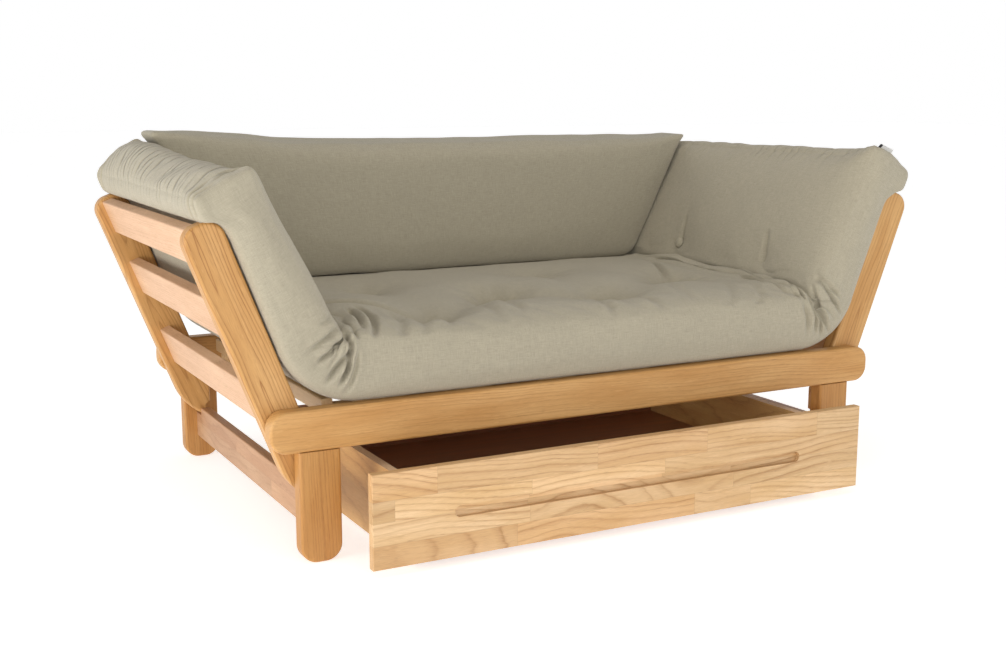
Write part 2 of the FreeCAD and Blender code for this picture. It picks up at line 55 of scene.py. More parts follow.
CAMERA = (-1.3973, -2.5644, 0.8489)
CAMERA_YAW, CAMERA_PITCH = 27.88, 10.38
CAMERA_LENS = 47.01
FLOOR_TONE = 0.80
FLOOR_HALF = 30              # metres
FLOOR_GLOW = 0.60            # a lit white floor, so its shadows stay faint
SKY = 0.34                   # brightness straight up; the horizon is 1


def add_object(name, data):
    obj = bpy.data.objects.new(name, data)
    bpy.context.scene.collection.objects.link(obj)
    return obj


def look_along(obj, place, yaw, pitch):
    """Yaw turns right from +Y, pitch down from level, both in degrees."""
    obj.location = place
    obj.rotation_euler = (math.radians(90 - pitch), 0, math.radians(-yaw))


def make_camera():
    data = bpy.data.cameras.new("camera")
    data.sensor_width = 36
    data.lens = CAMERA_LENS
    data.clip_end = 60
    cam = add_object("camera", data)
    look_along(cam, CAMERA, CAMERA_YAW, CAMERA_PITCH)
    bpy.context.scene.camera = cam


def area_light(name, place, target, size, power, tone=(1, 1, 1)):
    data = bpy.data.lights.new(name, "AREA")
    data.shape = "RECTANGLE"
    data.size, data.size_y = size
    data.energy = power
    data.color = tone
    lamp = add_object(name, data)
    lamp.location = place
    lamp.rotation_mode = "QUATERNION"
    lamp.rotation_quaternion = (Vector(target) - Vector(place)).to_track_quat("-Z", "Y")


def make_stage():
    world = bpy.data.worlds.new("studio")
    bpy.context.scene.world = world
    world.use_nodes = True
    tree = world.node_tree
    back = tree.nodes["Background"]
    where = tree.nodes.new("ShaderNodeTexCoord")
    split = tree.nodes.new("ShaderNodeSeparateXYZ")
    fade = tree.nodes.new("ShaderNodeMapRange")
    for k, value in ((1, 0.12), (2, 0.75), (3, 1.0), (4, SKY)):
        fade.inputs[k].default_value = value
    tree.links.new(where.outputs["Generated"], split.inputs[0])
    tree.links.new(split.outputs[2], fade.inputs[0])
    tree.links.new(fade.outputs[0], back.inputs[1])
    back.inputs[0].default_value = (1.0, 1.0, 1.0, 1)
    bpy.context.scene.view_settings.view_transform = "Standard"
    area_light("key", (-3.1, -0.55, 0.50), (-0.5, 0, 0.40), (2.0, 0.8), 36, (1.0, 0.985, 0.96))
    area_light("front", (-1.2, -4.2, 1.1), (0, 0, 0.3), (3.0, 1.6), 43)
    area_light("top", (0.0, -0.6, 3.4), (0, 0, 0), (3.0, 2.0), 24, (1.0, 0.90, 0.76))
    mesh = bpy.data.meshes.new("floor")
    corners = [(x * FLOOR_HALF, y * FLOOR_HALF, 0) for x, y in ((-1, -1), (1, -1), (1, 1), (-1, 1))]
    mesh.from_pydata(corners, [], [(0, 1, 2, 3)])
    add_object("floor", mesh)
    mat = bpy.data.materials.new("floor")
    mat.use_nodes = True
    shader = mat.node_tree.nodes["Principled BSDF"]
    for socket, value in (("Base Color", (FLOOR_TONE, FLOOR_TONE, FLOOR_TONE, 1)), ("Roughness", 0.9),
                          ("Specular IOR Level", 0.1), ("Emission Color", (1, 1, 1, 1)),
                          ("Emission Strength", FLOOR_GLOW)):
        shader.inputs[socket].default_value = value
    mesh.materials.append(mat)


# ---------------------------------------------------------------- node networks

def linear(rgb):
    """sRGB 0-255 to the linear values that shaders take."""
    out = []
    for value in rgb:
        c = value / 255
        out.append(c / 12.92 if c <= 0.04045 else ((c + 0.055) / 1.055) ** 2.4)
    return (*out, 1)


def shade(rgb, share):
    """The same colour, darker or lighter by a share."""
    return linear(tuple(min(255, int(c * share)) for c in rgb))


def lift(rgb, step):
    """The same colour with a number added to each part."""
    return linear(tuple(min(255, c + step) for c in rgb))


class Net:
    """A material's node tree, written as plain calls."""

    def __init__(self, name):
        self.mat = bpy.data.materials.new(name)
        self.mat.use_nodes = True
        self.tree = self.mat.node_tree
        self.shader = self.tree.nodes["Principled BSDF"]

    def node(self, kind, inputs=(), **props):
        made = self.tree.nodes.new("ShaderNode" + kind)
        for key, value in props.items():
            setattr(made, key, value)
        for key, value in dict(inputs).items():
            self.put(made.inputs[key], value)
        return made

    def put(self, socket, value):
        if value is None:
            return
        if isinstance(value, bpy.types.NodeSocket):
            self.tree.links.new(value, socket)
        else:
            socket.default_value = value

    def math(self, op, a, b=None, c=None, clamp=False):
        inputs = {0: a}
        if b is not None:
            inputs[1] = b
        if c is not None:
            inputs[2] = c
        return self.node("Math", inputs, operation=op, use_clamp=clamp).outputs[0]

    def add(self, a, b):
        return self.math("ADD", a, b)

    def mul(self, a, b):
        return self.math("MULTIPLY", a, b)

    def over(self, a, b):
        """1 where a is more than b."""
        return self.math("GREATER_THAN", a, b)

    def split(self, vector):
        out = self.node("SeparateXYZ", {0: vector}).outputs
        return out[0], out[1], out[2]

    def join(self, x, y, z):
        return self.node("CombineXYZ", {0: x, 1: y, 2: z}).outputs[0]

    def at(self, *terms):
        """Vector whose parts are sockets, numbers, or (socket, factor) pairs."""
        return self.join(*[self.mul(*term) if isinstance(term, tuple) else term for term in terms])

    def where(self):
        return self.node("TexCoord").outputs["Object"]

    def dot(self, vector, constant):
        return self.node("VectorMath", {0: vector, 1: constant}, operation="DOT_PRODUCT").outputs["Value"]

    def shift(self, vector, by):
        return self.node("VectorMath", {0: vector, 1: by}, operation="ADD").outputs[0]

    def stretch(self, vector, by):
        return self.node("VectorMath", {0: vector, 1: by}, operation="MULTIPLY").outputs[0]

    def noise(self, vector, scale=1.0, detail=2.0, rough=0.5, bend=0.0):
        return self.node("TexNoise", {"Vector": vector, "Scale": scale, "Detail": detail,
                                      "Roughness": rough, "Distortion": bend}).outputs[0]

    def ramp(self, value, *stops, ease="LINEAR"):
        made = self.node("ValToRGB", {0: value})
        made.color_ramp.interpolation = ease
        marks = made.color_ramp.elements
        while len(marks) < len(stops):
            marks.new(0.5)
        for mark, (place, tone) in zip(marks, stops):
            mark.position = place
            mark.color = tone if isinstance(tone, tuple) else (tone, tone, tone, 1)
        return made.outputs[0]

    def mix(self, share, a, b, kind="MIX"):
        made = self.node("MixRGB", {0: share, 1: a, 2: b}, blend_type=kind)
        return made.outputs[0]

    def remap(self, value, low, high, to_low, to_high):
        return self.node("MapRange", {0: value, 1: low, 2: high, 3: to_low, 4: to_high}).outputs[0]

    def finish(self, colour, rough, height=None, depth=0.0005, strength=0.5, specular=0.5):
        self.put(self.shader.inputs["Base Color"], colour)
        self.put(self.shader.inputs["Roughness"], rough)
        self.shader.inputs["Specular IOR Level"].default_value = specular
        if height is not None:
            bump = self.node("Bump", {"Height": height, "Strength": strength, "Distance": depth})
            self.put(self.shader.inputs["Normal"], bump.outputs[0])
        return self.mat


# ---------------------------------------------------------------- wood

HONEY = {"pale": (208, 162, 102), "mid": (192, 142, 80), "line": (150, 98, 46)}
DEEP_HONEY = {"pale": (194, 144, 82), "mid": (178, 124, 62), "line": (140, 88, 38)}
PALE_OAK = {"pale": (224, 190, 146), "mid": (208, 170, 120), "line": (166, 120, 70)}
PINK_OAK = {"pale": (216, 176, 140), "mid": (200, 158, 120), "line": (168, 120, 84)}
SHADED_OAK = {"pale": (196, 156, 120), "mid": (180, 138, 102), "line": (148, 104, 70)}
SPRUCE = {"pale": (232, 205, 162), "mid": (222, 190, 142), "line": (192, 150, 102)}
PLY_FACE = {"pale": (214, 172, 112), "mid": (198, 150, 92), "line": (158, 108, 58)}
PLY_PALE, PLY_DARK = (232, 206, 172), (186, 146, 108)
PLY_T = 0.0028
SEAM_HALF = 0.0004           # glue line between two strips


def grain(n, place, tones, rings=0.0065, pith=(0.02, 0.03), sway=0.012, tilt=0.02, figure=1.0, seed=0.0,
          tone_shift=None):
    """Colour, roughness and height of sawn oak. place is (along the grain, across the face, into the board) in
    metres; pith is how far the tree's middle is from the board's, across and in."""
    along, across, deep = n.split(place)
    slow = n.noise(n.at((along, 2.6), (across, 2.0), seed), 1, 1, 0.4)
    wander = n.noise(n.at((along, 3.1), seed + 7.3, (deep, 2)), 1, 1, 0.4)
    shake = n.noise(n.at((along, 14), (across, 42), n.add(n.mul(deep, 42), seed)), 1, 2, 0.5)
    off = n.add(n.add(across, pith[0]), n.add(n.mul(along, tilt), n.mul(n.add(slow, -0.5), sway * 2.2)))
    inward = n.add(n.add(deep, pith[1]), n.mul(n.add(wander, -0.5), sway * 3.2))
    reach = n.math("SQRT", n.add(n.mul(off, off), n.mul(inward, inward)))
    reach = n.add(reach, n.mul(n.add(shake, -0.5), rings * 0.55))
    years = n.noise(n.at((reach, 0.42 / rings), seed, 0.0), 1, 1, 0.5)
    count = n.add(n.mul(reach, 1 / rings), n.mul(years, 2.6))
    phase = n.math("FRACT", count)
    line = n.ramp(phase, (0.0, 0.35), (0.10, 0.05), (0.50, 0.0), (0.80, 0.38), (0.94, 1.0), (1.0, 0.35))
    line = n.mul(line, n.remap(n.noise(n.at((count, 0.31), (along, 3), seed), 1, 1), 0.3, 0.7, 0.25, 1.0))
    thread = n.noise(n.at((along, 18), (across, 620), (deep, 620)), 1, 2, 0.6)
    pores = n.noise(n.at(n.add(n.mul(along, 55), seed), (across, 1100), (deep, 1100)), 1, 1, 0.5)
    pores = n.mul(n.ramp(pores, (0.56, 0.0), (0.66, 1.0)), n.remap(line, 0, 1, 0.35, 1.0))
    cloud = n.noise(n.at((along, 5), (across, 26), n.add(n.mul(deep, 26), seed * 3)), 1, 2, 0.5)
    flecks = n.noise(n.at(n.add(n.mul(along, 38), seed * 5), (across, 260), (deep, 90)), 1, 1, 0.5)
    flecks = n.ramp(flecks, (0.66, 0.0), (0.73, 1.0))
    colour = n.mix(n.remap(cloud, 0.3, 0.7, 0, 1), linear(tones["mid"]), linear(tones["pale"]))
    colour = n.mix(n.mul(line, 0.60 * figure), colour, linear(tones["line"]))
    colour = n.mix(n.mul(n.remap(thread, 0.35, 0.75, 0, 1), 0.20), colour, linear(tones["line"]))
    colour = n.mix(n.mul(pores, 0.36), colour, shade(tones["line"], 0.62))
    colour = n.mix(n.mul(flecks, 0.22), colour, lift(tones["pale"], 14))
    if tone_shift is not None:
        shift = n.node("CombineColor", dict(enumerate(tone_shift))).outputs[0]
        colour = n.mix(1.0, colour, shift, "MULTIPLY")
    rough = n.add(n.remap(thread, 0, 1, 0.40, 0.52), n.mul(pores, 0.12))
    height = n.add(n.mul(thread, 0.35), n.add(n.mul(pores, -0.7), n.mul(line, -0.18)))
    return colour, rough, height


def board_place(n, along, across, into, offset):
    """Object coordinates turned so that x runs with the grain."""
    where = n.where()
    turned = n.join(*[n.dot(where, axis) for axis in (along, across, into)])
    return n.shift(turned, offset)


def board(name, along, across, into, tones=HONEY, seed=0.0, middle=(0, 0, 0), **how):
    """Oak for one board, with its own cut of the tree. middle is the board's centre, in the row frame."""
    n = Net(name)
    centre = tuple(-Vector(middle).dot(Vector(axis)) for axis in (along, across, into))
    place = board_place(n, along, across, into, (centre[0] + seed * 1.7, centre[1], centre[2]))
    colour, rough, height = grain(n, place, tones, seed=seed, **how)
    return n.finish(colour, rough, height, 0.0004, 0.35, 0.42)


def strip_wood(name, along, across, into, strips, tones, seed=0.0, figure=0.8):
    """Board glued up from strips: strips is [(low edge of the row, (joints along it...)), ...] from the bottom."""
    n = Net(name)
    where = n.where()
    x, z, y = [n.dot(where, axis) for axis in (along, across, into)]
    number = seam = 0.0
    for row, (low, joints) in enumerate(strips):
        inside = n.over(z, low)
        if row + 1 < len(strips):
            inside = n.mul(inside, n.math("LESS_THAN", z, strips[row + 1][0]))
        count = n.add(row * 7.0, 1.0)
        near = 0.0
        for joint in joints:
            count = n.add(count, n.over(x, joint))
            gap = n.math("ABSOLUTE", n.add(x, -joint))
            near = n.add(near, n.math("LESS_THAN", gap, SEAM_HALF))
        count, near = n.mul(count, inside), n.mul(near, inside)
        if row:
            near = n.add(near, n.math("LESS_THAN", n.math("ABSOLUTE", n.add(z, -low)), SEAM_HALF))
        number, seam = n.add(number, count), n.add(seam, near)
    luck = n.node("TexWhiteNoise", {"W": n.add(number, seed)}, noise_dimensions="1D")
    one, two, three = n.split(luck.outputs["Color"])
    place = n.join(n.add(x, n.mul(one, 9.0)), n.add(z, n.mul(n.add(two, -0.5), 0.12)),
                   n.add(y, n.mul(three, 0.06)))
    bright = n.remap(two, 0, 1, 0.87, 1.09)
    warm = n.remap(three, 0, 1, 0.94, 1.03)
    warmer = n.mul(bright, warm)
    colour, rough, height = grain(n, place, tones, rings=0.0058, pith=(0.0, 0.035), sway=0.016, seed=seed,
                                  figure=figure, tone_shift=(bright, warmer, n.mul(warmer, warm)))
    seam = n.math("MINIMUM", seam, 1.0)
    colour = n.mix(n.mul(seam, 0.22), colour, shade(tones["line"], 0.75))
    return n.finish(colour, rough, n.add(height, n.mul(seam, -0.5)), 0.0004, 0.35, 0.42)


def birch_ply(name):
    """Veneered faces, and the plies along every cut edge that faces up."""
    n = Net(name)
    x, y, z = n.split(n.where())
    wood, rough, height = grain(n, n.join(y, z, x), PLY_FACE, rings=0.011, pith=(0.0, 0.06), sway=0.03, seed=3.1,
                                figure=0.7)
    ply = n.math("FRACT", n.mul(x, 1 / PLY_T))
    edge = n.ramp(ply, (0.0, linear(PLY_PALE)), (0.46, linear((238, 214, 182))), (0.54, linear(PLY_DARK)),
                  (0.92, linear((196, 156, 118))), (1.0, linear(PLY_PALE)))
    fuzz = n.noise(n.at((x, 300), (y, 60), 0.0), 1, 3, 0.6)
    edge = n.mix(n.mul(fuzz, 0.35), edge, linear((206, 172, 136)))
    up = n.split(n.node("NewGeometry").outputs["Normal"])[2]
    colour = n.mix(n.over(n.math("ABSOLUTE", up), 0.6), wood, edge)
    return n.finish(colour, rough, height, 0.0003, 0.3, 0.35)


def dark_board(name):
    """Foil-faced board, a dark brown printed wood."""
    n = Net(name)
    where = n.where()
    streak = n.noise(n.stretch(where, (3.0, 60.0, 60.0)), 1, 3, 0.6, 0.4)
    broad = n.noise(n.stretch(where, (1.2, 9.0, 9.0)), 1, 2, 0.5)
    colour = n.mix(n.remap(streak, 0.3, 0.7, 0, 1), linear((130, 84, 58)), linear((162, 108, 78)))
    colour = n.mix(n.mul(broad, 0.4), colour, linear((116, 66, 46)))
    return n.finish(colour, n.remap(streak, 0, 1, 0.34, 0.5), streak, 0.0002, 0.3, 0.4)


# ---------------------------------------------------------------- metal and plastic

def steel(name, tone=(176, 178, 182), rough=0.34, metallic=1.0):
    n = Net(name)
    where = n.where()
    brushed = n.noise(n.stretch(where, (900, 900, 60)), 1, 3, 0.6)
    spots = n.noise(where, 180, 3, 0.6)
    colour = n.mix(n.remap(spots, 0.35, 0.7, 0, 1), linear(tone), shade(tone, 0.82))
    n.shader.inputs["Metallic"].default_value = metallic
    return n.finish(colour, n.add(n.mul(brushed, 0.16), rough - 0.08), brushed, 0.0001, 0.25)


def plastic(name, tone=(38, 38, 40), rough=0.5):
    n = Net(name)
    where = n.where()
    pebble = n.noise(where, 1400, 3, 0.6)
    dust = n.noise(where, 90, 3, 0.5)
    colour = n.mix(n.mul(dust, 0.35), linear(tone), lift(tone, 28))
    return n.finish(colour, n.remap(dust, 0, 1, rough - 0.08, rough + 0.1), pebble, 0.0002, 0.3)


# ---------------------------------------------------------------- linen

FABRIC = (176, 168, 147)
THREAD_PITCH = 0.0011


def linen(name, tone, seed=0.0, gathers=False):
    """Plain-weave cotton and linen: threads, thick slubs both ways, slight blotches. UVs are in metres.
    With gathers, fine puckers run over the ends where the "gather" attribute is set: they are bumped, and painted
    shade darkens their valleys."""
    n = Net(name)
    u, v, _ = n.split(n.node("UVMap", uv_map="weave").outputs[0])
    su, sv = [n.math("SINE", n.mul(part, math.pi / THREAD_PITCH)) for part in (u, v)]
    turn = n.over(n.mul(su, sv), 0.0)
    knit = n.add(n.mul(turn, n.math("ABSOLUTE", su)),
                 n.mul(n.add(n.mul(turn, -1), 1), n.math("ABSOLUTE", sv)))

    def threads(long, wide, shift):
        return n.add(n.noise(n.at((u, long), (v, wide), seed + shift), 1, 2, 0.55),
                     n.noise(n.at((u, wide), (v, long), seed + shift + 4), 1, 2, 0.55))

    fine, slub = threads(60, 900, 0.0), threads(22, 330, 2.0)
    blotch = n.noise(n.at((u, 7), (v, 7), seed), 1, 3, 0.6)
    neps = n.ramp(n.noise(n.at((u, 210), (v, 210), seed + 9), 1, 1, 0.5), (0.73, 0.0), (0.77, 1.0))
    dark = shade(tone, 0.89)
    pale = shade(tone, 1.07)
    share = n.remap(n.add(n.mul(fine, 0.74), n.mul(slub, 0.30)), 0.72, 1.36, 0, 1)
    colour = n.mix(share, dark, pale)
    colour = n.mix(n.remap(blotch, 0.3, 0.7, 0.0, 0.16), colour, shade(tone, 0.92))
    colour = n.mix(n.mul(neps, 0.22), colour, shade(tone, 0.60))
    # painted shade between the threads, where the thread profile knit is low
    colour = n.mix(n.remap(knit, 0.0, 0.5, 0.30, 0.0), colour, shade(tone, 0.66))
    n.shader.inputs["Sheen Weight"].default_value = 0.22
    n.shader.inputs["Sheen Roughness"].default_value = 0.55
    height = n.add(n.mul(knit, 0.55), n.add(n.mul(fine, 0.30), n.mul(slub, 0.55)))
    rough = n.remap(fine, 0.6, 1.4, 0.94, 0.82)
    if not gathers:
        return n.finish(colour, rough, height, 0.00055, 0.55, 0.16)
    share, across, drop = [n.node("Attribute", attribute_name=name).outputs["Fac"]
                           for name in ("gather", "across", "drop")]
    bend = n.noise(n.at((across, 9), (drop, 0.8), seed), 1, 1, 0.5)
    lines = n.math("ABSOLUTE", n.math("SINE", n.add(n.mul(across, 118), n.mul(bend, 8))))
    valley = n.math("POWER", n.add(n.mul(lines, -1), 1), 3.0)
    strong = n.noise(n.at((across, 24), (drop, 1.5), seed + 3), 1, 1, 0.5)
    valley = n.mul(n.mul(valley, n.remap(strong, 0.36, 0.62, 0.15, 1.0)), share)
    # painted shade: the pucker valleys are darkened in the colour as well as sunk by the bump
    colour = n.mix(n.mul(valley, 0.60), colour, shade(tone, 0.62))
    n.finish(colour, rough, height, 0.00055, 0.55, 0.16)
    weave = n.shader.inputs["Normal"].links[0].from_socket
    folds = n.node("Bump", {"Height": n.mul(valley, -1.0), "Strength": 1.0, "Distance": 0.0050, "Normal": weave})
    n.put(n.shader.inputs["Normal"], folds.outputs[0])
    return n.mat


# ---------------------------------------------------------------- mesh helpers

def shell(us, vs, ws):
    """Surface of a box on a grid: the points, the quads, and for each quad the axis that it faces."""
    grids = [np.asarray(g, float) for g in (us, vs, ws)]
    shape = tuple(len(g) for g in grids)
    idx = np.meshgrid(*[np.arange(k) for k in shape], indexing="ij")
    rim = np.zeros(shape, bool)
    for axis in range(3):
        rim |= (idx[axis] == 0) | (idx[axis] == shape[axis] - 1)
    number = -np.ones(shape, int)
    number[rim] = np.arange(rim.sum())
    points = np.stack([grids[axis][idx[axis][rim]] for axis in range(3)], 1)
    quads, facing = [], []
    for axis in range(3):
        for end in (0, shape[axis] - 1):
            sheet = np.take(number, end, axis=axis)
            ring = [sheet[:-1, :-1], sheet[1:, :-1], sheet[1:, 1:], sheet[:-1, 1:]]
            if (end > 0) == (axis == 1):
                ring = ring[::-1]
            quads.append(np.stack(ring, -1).reshape(-1, 4))
            facing.append(np.full(len(quads[-1]), axis))
    return points, np.concatenate(quads), np.concatenate(facing)


def soften(points, half, radius, power=2.3):
    """Rounds a box's edges. half and radius hold one number, or one per point, for each axis."""
    out = points.copy()
    lean = np.zeros_like(points)
    core = np.zeros_like(points)
    for axis in range(3):
        limit = half[axis] - radius[axis]
        core[:, axis] = np.clip(points[:, axis], -limit, limit)
        lean[:, axis] = (points[:, axis] - core[:, axis]) / radius[axis]
    size = (np.abs(lean) ** power).sum(1) ** (1 / power)
    peak = np.abs(lean).max(1)
    scale = np.where(size > 1e-9, peak / np.maximum(size, 1e-9), 0)
    for axis in range(3):
        out[:, axis] = core[:, axis] + lean[:, axis] * scale * radius[axis]
    return out


def lattice(seed):
    return np.random.RandomState(seed).rand(64, 64)


def wave(x, y, seed, octaves=1):
    """Smooth noise from -1 to 1."""
    total, size, share = np.zeros(np.broadcast(x, y).shape), 1.0, 1.0
    for step in range(octaves):
        table = lattice(seed + step)
        gx, gy = x * size + 31.7, y * size + 17.3
        ix, iy = np.floor(gx).astype(int), np.floor(gy).astype(int)
        fx, fy = gx - ix, gy - iy
        fx, fy = fx * fx * (3 - 2 * fx), fy * fy * (3 - 2 * fy)
        a, b = table[ix % 64, iy % 64], table[(ix + 1) % 64, iy % 64]
        c, d = table[ix % 64, (iy + 1) % 64], table[(ix + 1) % 64, (iy + 1) % 64]
        total += share * (2 * (a * (1 - fx) * (1 - fy) + b * fx * (1 - fy) + c * (1 - fx) * fy + d * fx * fy) - 1)
        size, share = size * 2, share * 0.5
    return total


def ease(x, low, high):
    t = np.clip((x - low) / (high - low), 0, 1)
    return t * t * (3 - 2 * t)


def band(x, low, full, drop, end):
    """0 up to low, 1 from full to drop, and 0 again from end."""
    return ease(x, low, full) * (1 - ease(x, drop, end))


def peak(gap, width):
    return np.exp(-(gap / width) ** 2)


def coords(mesh):
    out = np.zeros(len(mesh.vertices) * 3)
    mesh.vertices.foreach_get("co", out)
    return out.reshape(-1, 3)


def normals(mesh):
    out = np.zeros(len(mesh.vertices) * 3, np.float32)
    mesh.vertex_normals.foreach_get("vector", out)
    return out.reshape(-1, 3).astype(float)


def put_coords(mesh, points):
    mesh.vertices.foreach_set("co", np.ascontiguousarray(points, np.float32).ravel())
    mesh.update()


def smooth(mesh):
    mesh.polygons.foreach_set("use_smooth", [True] * len(mesh.polygons))


def round_mesh(name, points, faces, uv_of):
    """Smooth-shaded mesh; uv_of gives a vertex's UV, in metres, from its number and its place."""
    mesh = bpy.data.meshes.new(name)
    mesh.from_pydata([tuple(p) for p in points], [], faces)
    smooth(mesh)
    layer = mesh.uv_layers.new(name="weave")
    for loop in mesh.loops:
        k = loop.vertex_index
        layer.data[loop.index].uv = uv_of(k, mesh.vertices[k].co)
    return mesh


def build(name, points, quads, uv_points, facing):
    """Mesh object with UVs in metres, laid on each side of the flat block."""
    mesh = bpy.data.meshes.new(name)
    mesh.from_pydata(points.tolist(), [], quads.tolist())
    layer = mesh.uv_layers.new(name="weave")
    pair = {0: (1, 2), 1: (0, 2), 2: (0, 1)}
    flat = np.zeros((len(quads), 4, 2), np.float32)
    for axis, (a, b) in pair.items():
        chosen = facing == axis
        flat[chosen, :, 0] = uv_points[quads[chosen], a]
        flat[chosen, :, 1] = uv_points[quads[chosen], b]
    layer.data.foreach_set("uv", flat.ravel())
    store = mesh.attributes.new("flat", "FLOAT_VECTOR", "POINT")
    store.data.foreach_set("vector", uv_points.astype(np.float32).ravel())
    smooth(mesh)
    return add_object(name, mesh)


def refine(obj, levels=1):
    """One more subdivision, applied."""
    mod = obj.modifiers.new("fine", "SUBSURF")
    mod.levels = mod.render_levels = levels
    mod.uv_smooth = "NONE"
    graph = bpy.context.evaluated_depsgraph_get()
    made = bpy.data.meshes.new_from_object(obj.evaluated_get(graph), preserve_all_data_layers=True,
                                           depsgraph=graph)
    obj.modifiers.remove(mod)
    old = obj.data
    obj.data = made
    bpy.data.meshes.remove(old)


def flat_of(obj):
    out = np.zeros(len(obj.data.vertices) * 3, np.float32)
    obj.data.attributes["flat"].data.foreach_get("vector", out)
    return out.reshape(-1, 3).astype(float)


def inflate(obj, hold, pressure=4.0, frames=20, cap=0.025):
    """Fills the cover by Cloth pressure. hold is from 0, free, to 1, pinned; no point moves more than cap."""
    group = obj.vertex_groups.new(name="hold")
    steps = np.round(hold, 1)
    for level in np.unique(steps[steps > 0]):
        group.add([int(k) for k in np.nonzero(steps == level)[0]], float(level), "REPLACE")
    before = coords(obj.data)
    mod = obj.modifiers.new("cloth", "CLOTH")
    cloth = mod.settings
    cloth.effector_weights.gravity = 0
    for key, value in (("use_pressure", True), ("uniform_pressure_force", pressure), ("vertex_group_mass", "hold"),
                       ("quality", 4), ("mass", 0.35), ("tension_stiffness", 18), ("compression_stiffness", 12),
                       ("bending_stiffness", 0.6)):
        setattr(cloth, key, value)
    mod.collision_settings.use_collision = False
    mod.point_cache.frame_start = 1
    mod.point_cache.frame_end = frames
    for step in range(1, frames + 1):
        bpy.context.scene.frame_set(step)
    graph = bpy.context.evaluated_depsgraph_get()
    swollen = coords(obj.evaluated_get(graph).data)
    obj.modifiers.remove(mod)
    bpy.context.scene.frame_set(1)
    obj.vertex_groups.remove(group)
    move = swollen - before
    far = np.linalg.norm(move, axis=1)
    move *= (cap * np.tanh(far / cap) / np.maximum(far, 1e-9))[:, None]
    put_coords(obj.data, before + move)


# ---------------------------------------------------------------- the futon's section

LEAN = math.radians(21)
PIVOT = (0.660, 0.251)
SIN, COS = math.sin(LEAN), math.cos(LEAN)
SEAT_LOW, SEAT_HIGH = (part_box("futon_seat")[k].z for k in (0, 1))
FRONT_Y, REAR_Y = (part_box("futon_seat")[k].y for k in (0, 1))
MID_Y = (FRONT_Y + REAR_Y) / 2
HALF_Y = (REAR_Y - FRONT_Y) / 2
ARM_BACK = 0.040             # arm section's back, from the boards' middle line
BEND_R = 0.166               # outside of the bend
BEND = math.pi / 2 - LEAN
LOW_FOLD_X = PIVOT[0] - ARM_BACK * COS + (SEAT_LOW - PIVOT[1] - ARM_BACK * SIN) / COS * SIN
S_BEND = LOW_FOLD_X - BEND_R * math.tan(BEND / 2)
S_ARM = S_BEND + BEND_R * BEND
U_ARM = (SEAT_LOW - PIVOT[1] - ARM_BACK * SIN) / COS + BEND_R * math.tan(BEND / 2)
U_OUT, U_IN = 0.460, 0.472   # free end, outside and inside
S_END = S_ARM + U_OUT - U_ARM
BOARD_TOP = 0.406
HIGH_FOLD = (0.5579, SEAT_HIGH)
BACK_T = 0.125
SINK = 0.008                 # the back cushion presses this far into the seat
SEAT_T = SEAT_HIGH - SEAT_LOW
PAD_FOLD_U = U_ARM + 0.012   # where the arm section's inner face starts, up along the boards
PAD_V = 0.1585               # the inner face, from the boards' middle line
PAD_TAPER = 0.0315           # how much less at the free end


def arm_xz(v, u):
    """Right-hand side, so x is positive: v across from the boards' middle line, u up along the boards."""
    return PIVOT[0] - v * COS + u * SIN, PIVOT[1] + v * SIN + u * COS


def outside(s):
    turn = np.clip(s - S_BEND, 0, S_ARM - S_BEND) / BEND_R
    x = np.minimum(s, S_BEND) + BEND_R * np.sin(turn)
    z = SEAT_LOW + BEND_R * (1 - np.cos(turn))
    u = U_ARM + np.maximum(s - S_ARM, 0)
    v = ARM_BACK + 0.001 - (ARM_BACK + 0.001) * ease(u, BOARD_TOP - 0.034, BOARD_TOP + 0.010)
    ax, az = arm_xz(v, u)
    on_arm = s > S_ARM
    return np.where(on_arm, ax, x), np.where(on_arm, az, z)


def inside(s):
    t = np.clip((s - S_BEND) / (S_ARM - S_BEND), 0, 1)
    bottom = (HIGH_FOLD[0] + 0.006, SEAT_HIGH - 0.026)
    top = arm_xz(PAD_V, PAD_FOLD_U)
    first, second = np.clip(t / 0.62, 0, 1), np.clip((t - 0.62) / 0.38, 0, 1)
    dip = ease(first, 0.3, 1.0)
    x = S_BEND + (bottom[0] - S_BEND) * first + (top[0] - bottom[0]) * second
    z = SEAT_HIGH - 0.003 + (bottom[1] - SEAT_HIGH + 0.003) * dip + (top[1] - bottom[1]) * second
    up = np.clip((s - S_ARM) / (S_END - S_ARM), 0, 1)
    u = PAD_FOLD_U + (U_IN - PAD_FOLD_U) * up
    v = PAD_V - PAD_TAPER * ease(up, 0.0, 1.0)
    ax, az = arm_xz(v, u)
    flat = s < S_BEND
    x = np.where(flat, s, np.where(s > S_ARM, ax, x))
    z = np.where(flat, SEAT_HIGH - 0.003, np.where(s > S_ARM, az, z))
    return x, z


def bent(points):
    """Flat block (signed length, depth, height from 0 to 1) to the row frame."""
    side = np.sign(points[:, 0])
    s = np.abs(points[:, 0])
    ox, oz = outside(s)
    ix, iz = inside(s)
    h = points[:, 2]
    x = ox + (ix - ox) * h
    z = oz + (iz - oz) * h
    return np.stack([side * x, points[:, 1], z], 1)


def spaced(marks, steps):
    """Grid lines between marks, with about the given step in each gap."""
    out = [marks[0]]
    for low, high, step in zip(marks, marks[1:], steps):
        count = max(1, int(round((high - low) / step)))
        out += list(low + (high - low) * np.arange(1, count + 1) / count)
    return np.array(out)


SEAT_TUFTS = [(-0.320, -0.237, 1.0), (-0.095, -0.070, 0.9), (0.123, -0.185, 0.9), (0.384, -0.054, 0.8),
              (-0.320, 0.130, 0.5), (0.123, 0.150, 0.5)]
PAD_TUFTS = [(-0.133, 0.176, 1.0), (0.207, 0.182, 0.8)]        # depth, along the arm


def tuft_length(u):
    """Length along the flat block of a place up along the boards, on the inner face."""
    return S_ARM + (u - PAD_FOLD_U) * (S_END - S_ARM) / (U_IN - PAD_FOLD_U)


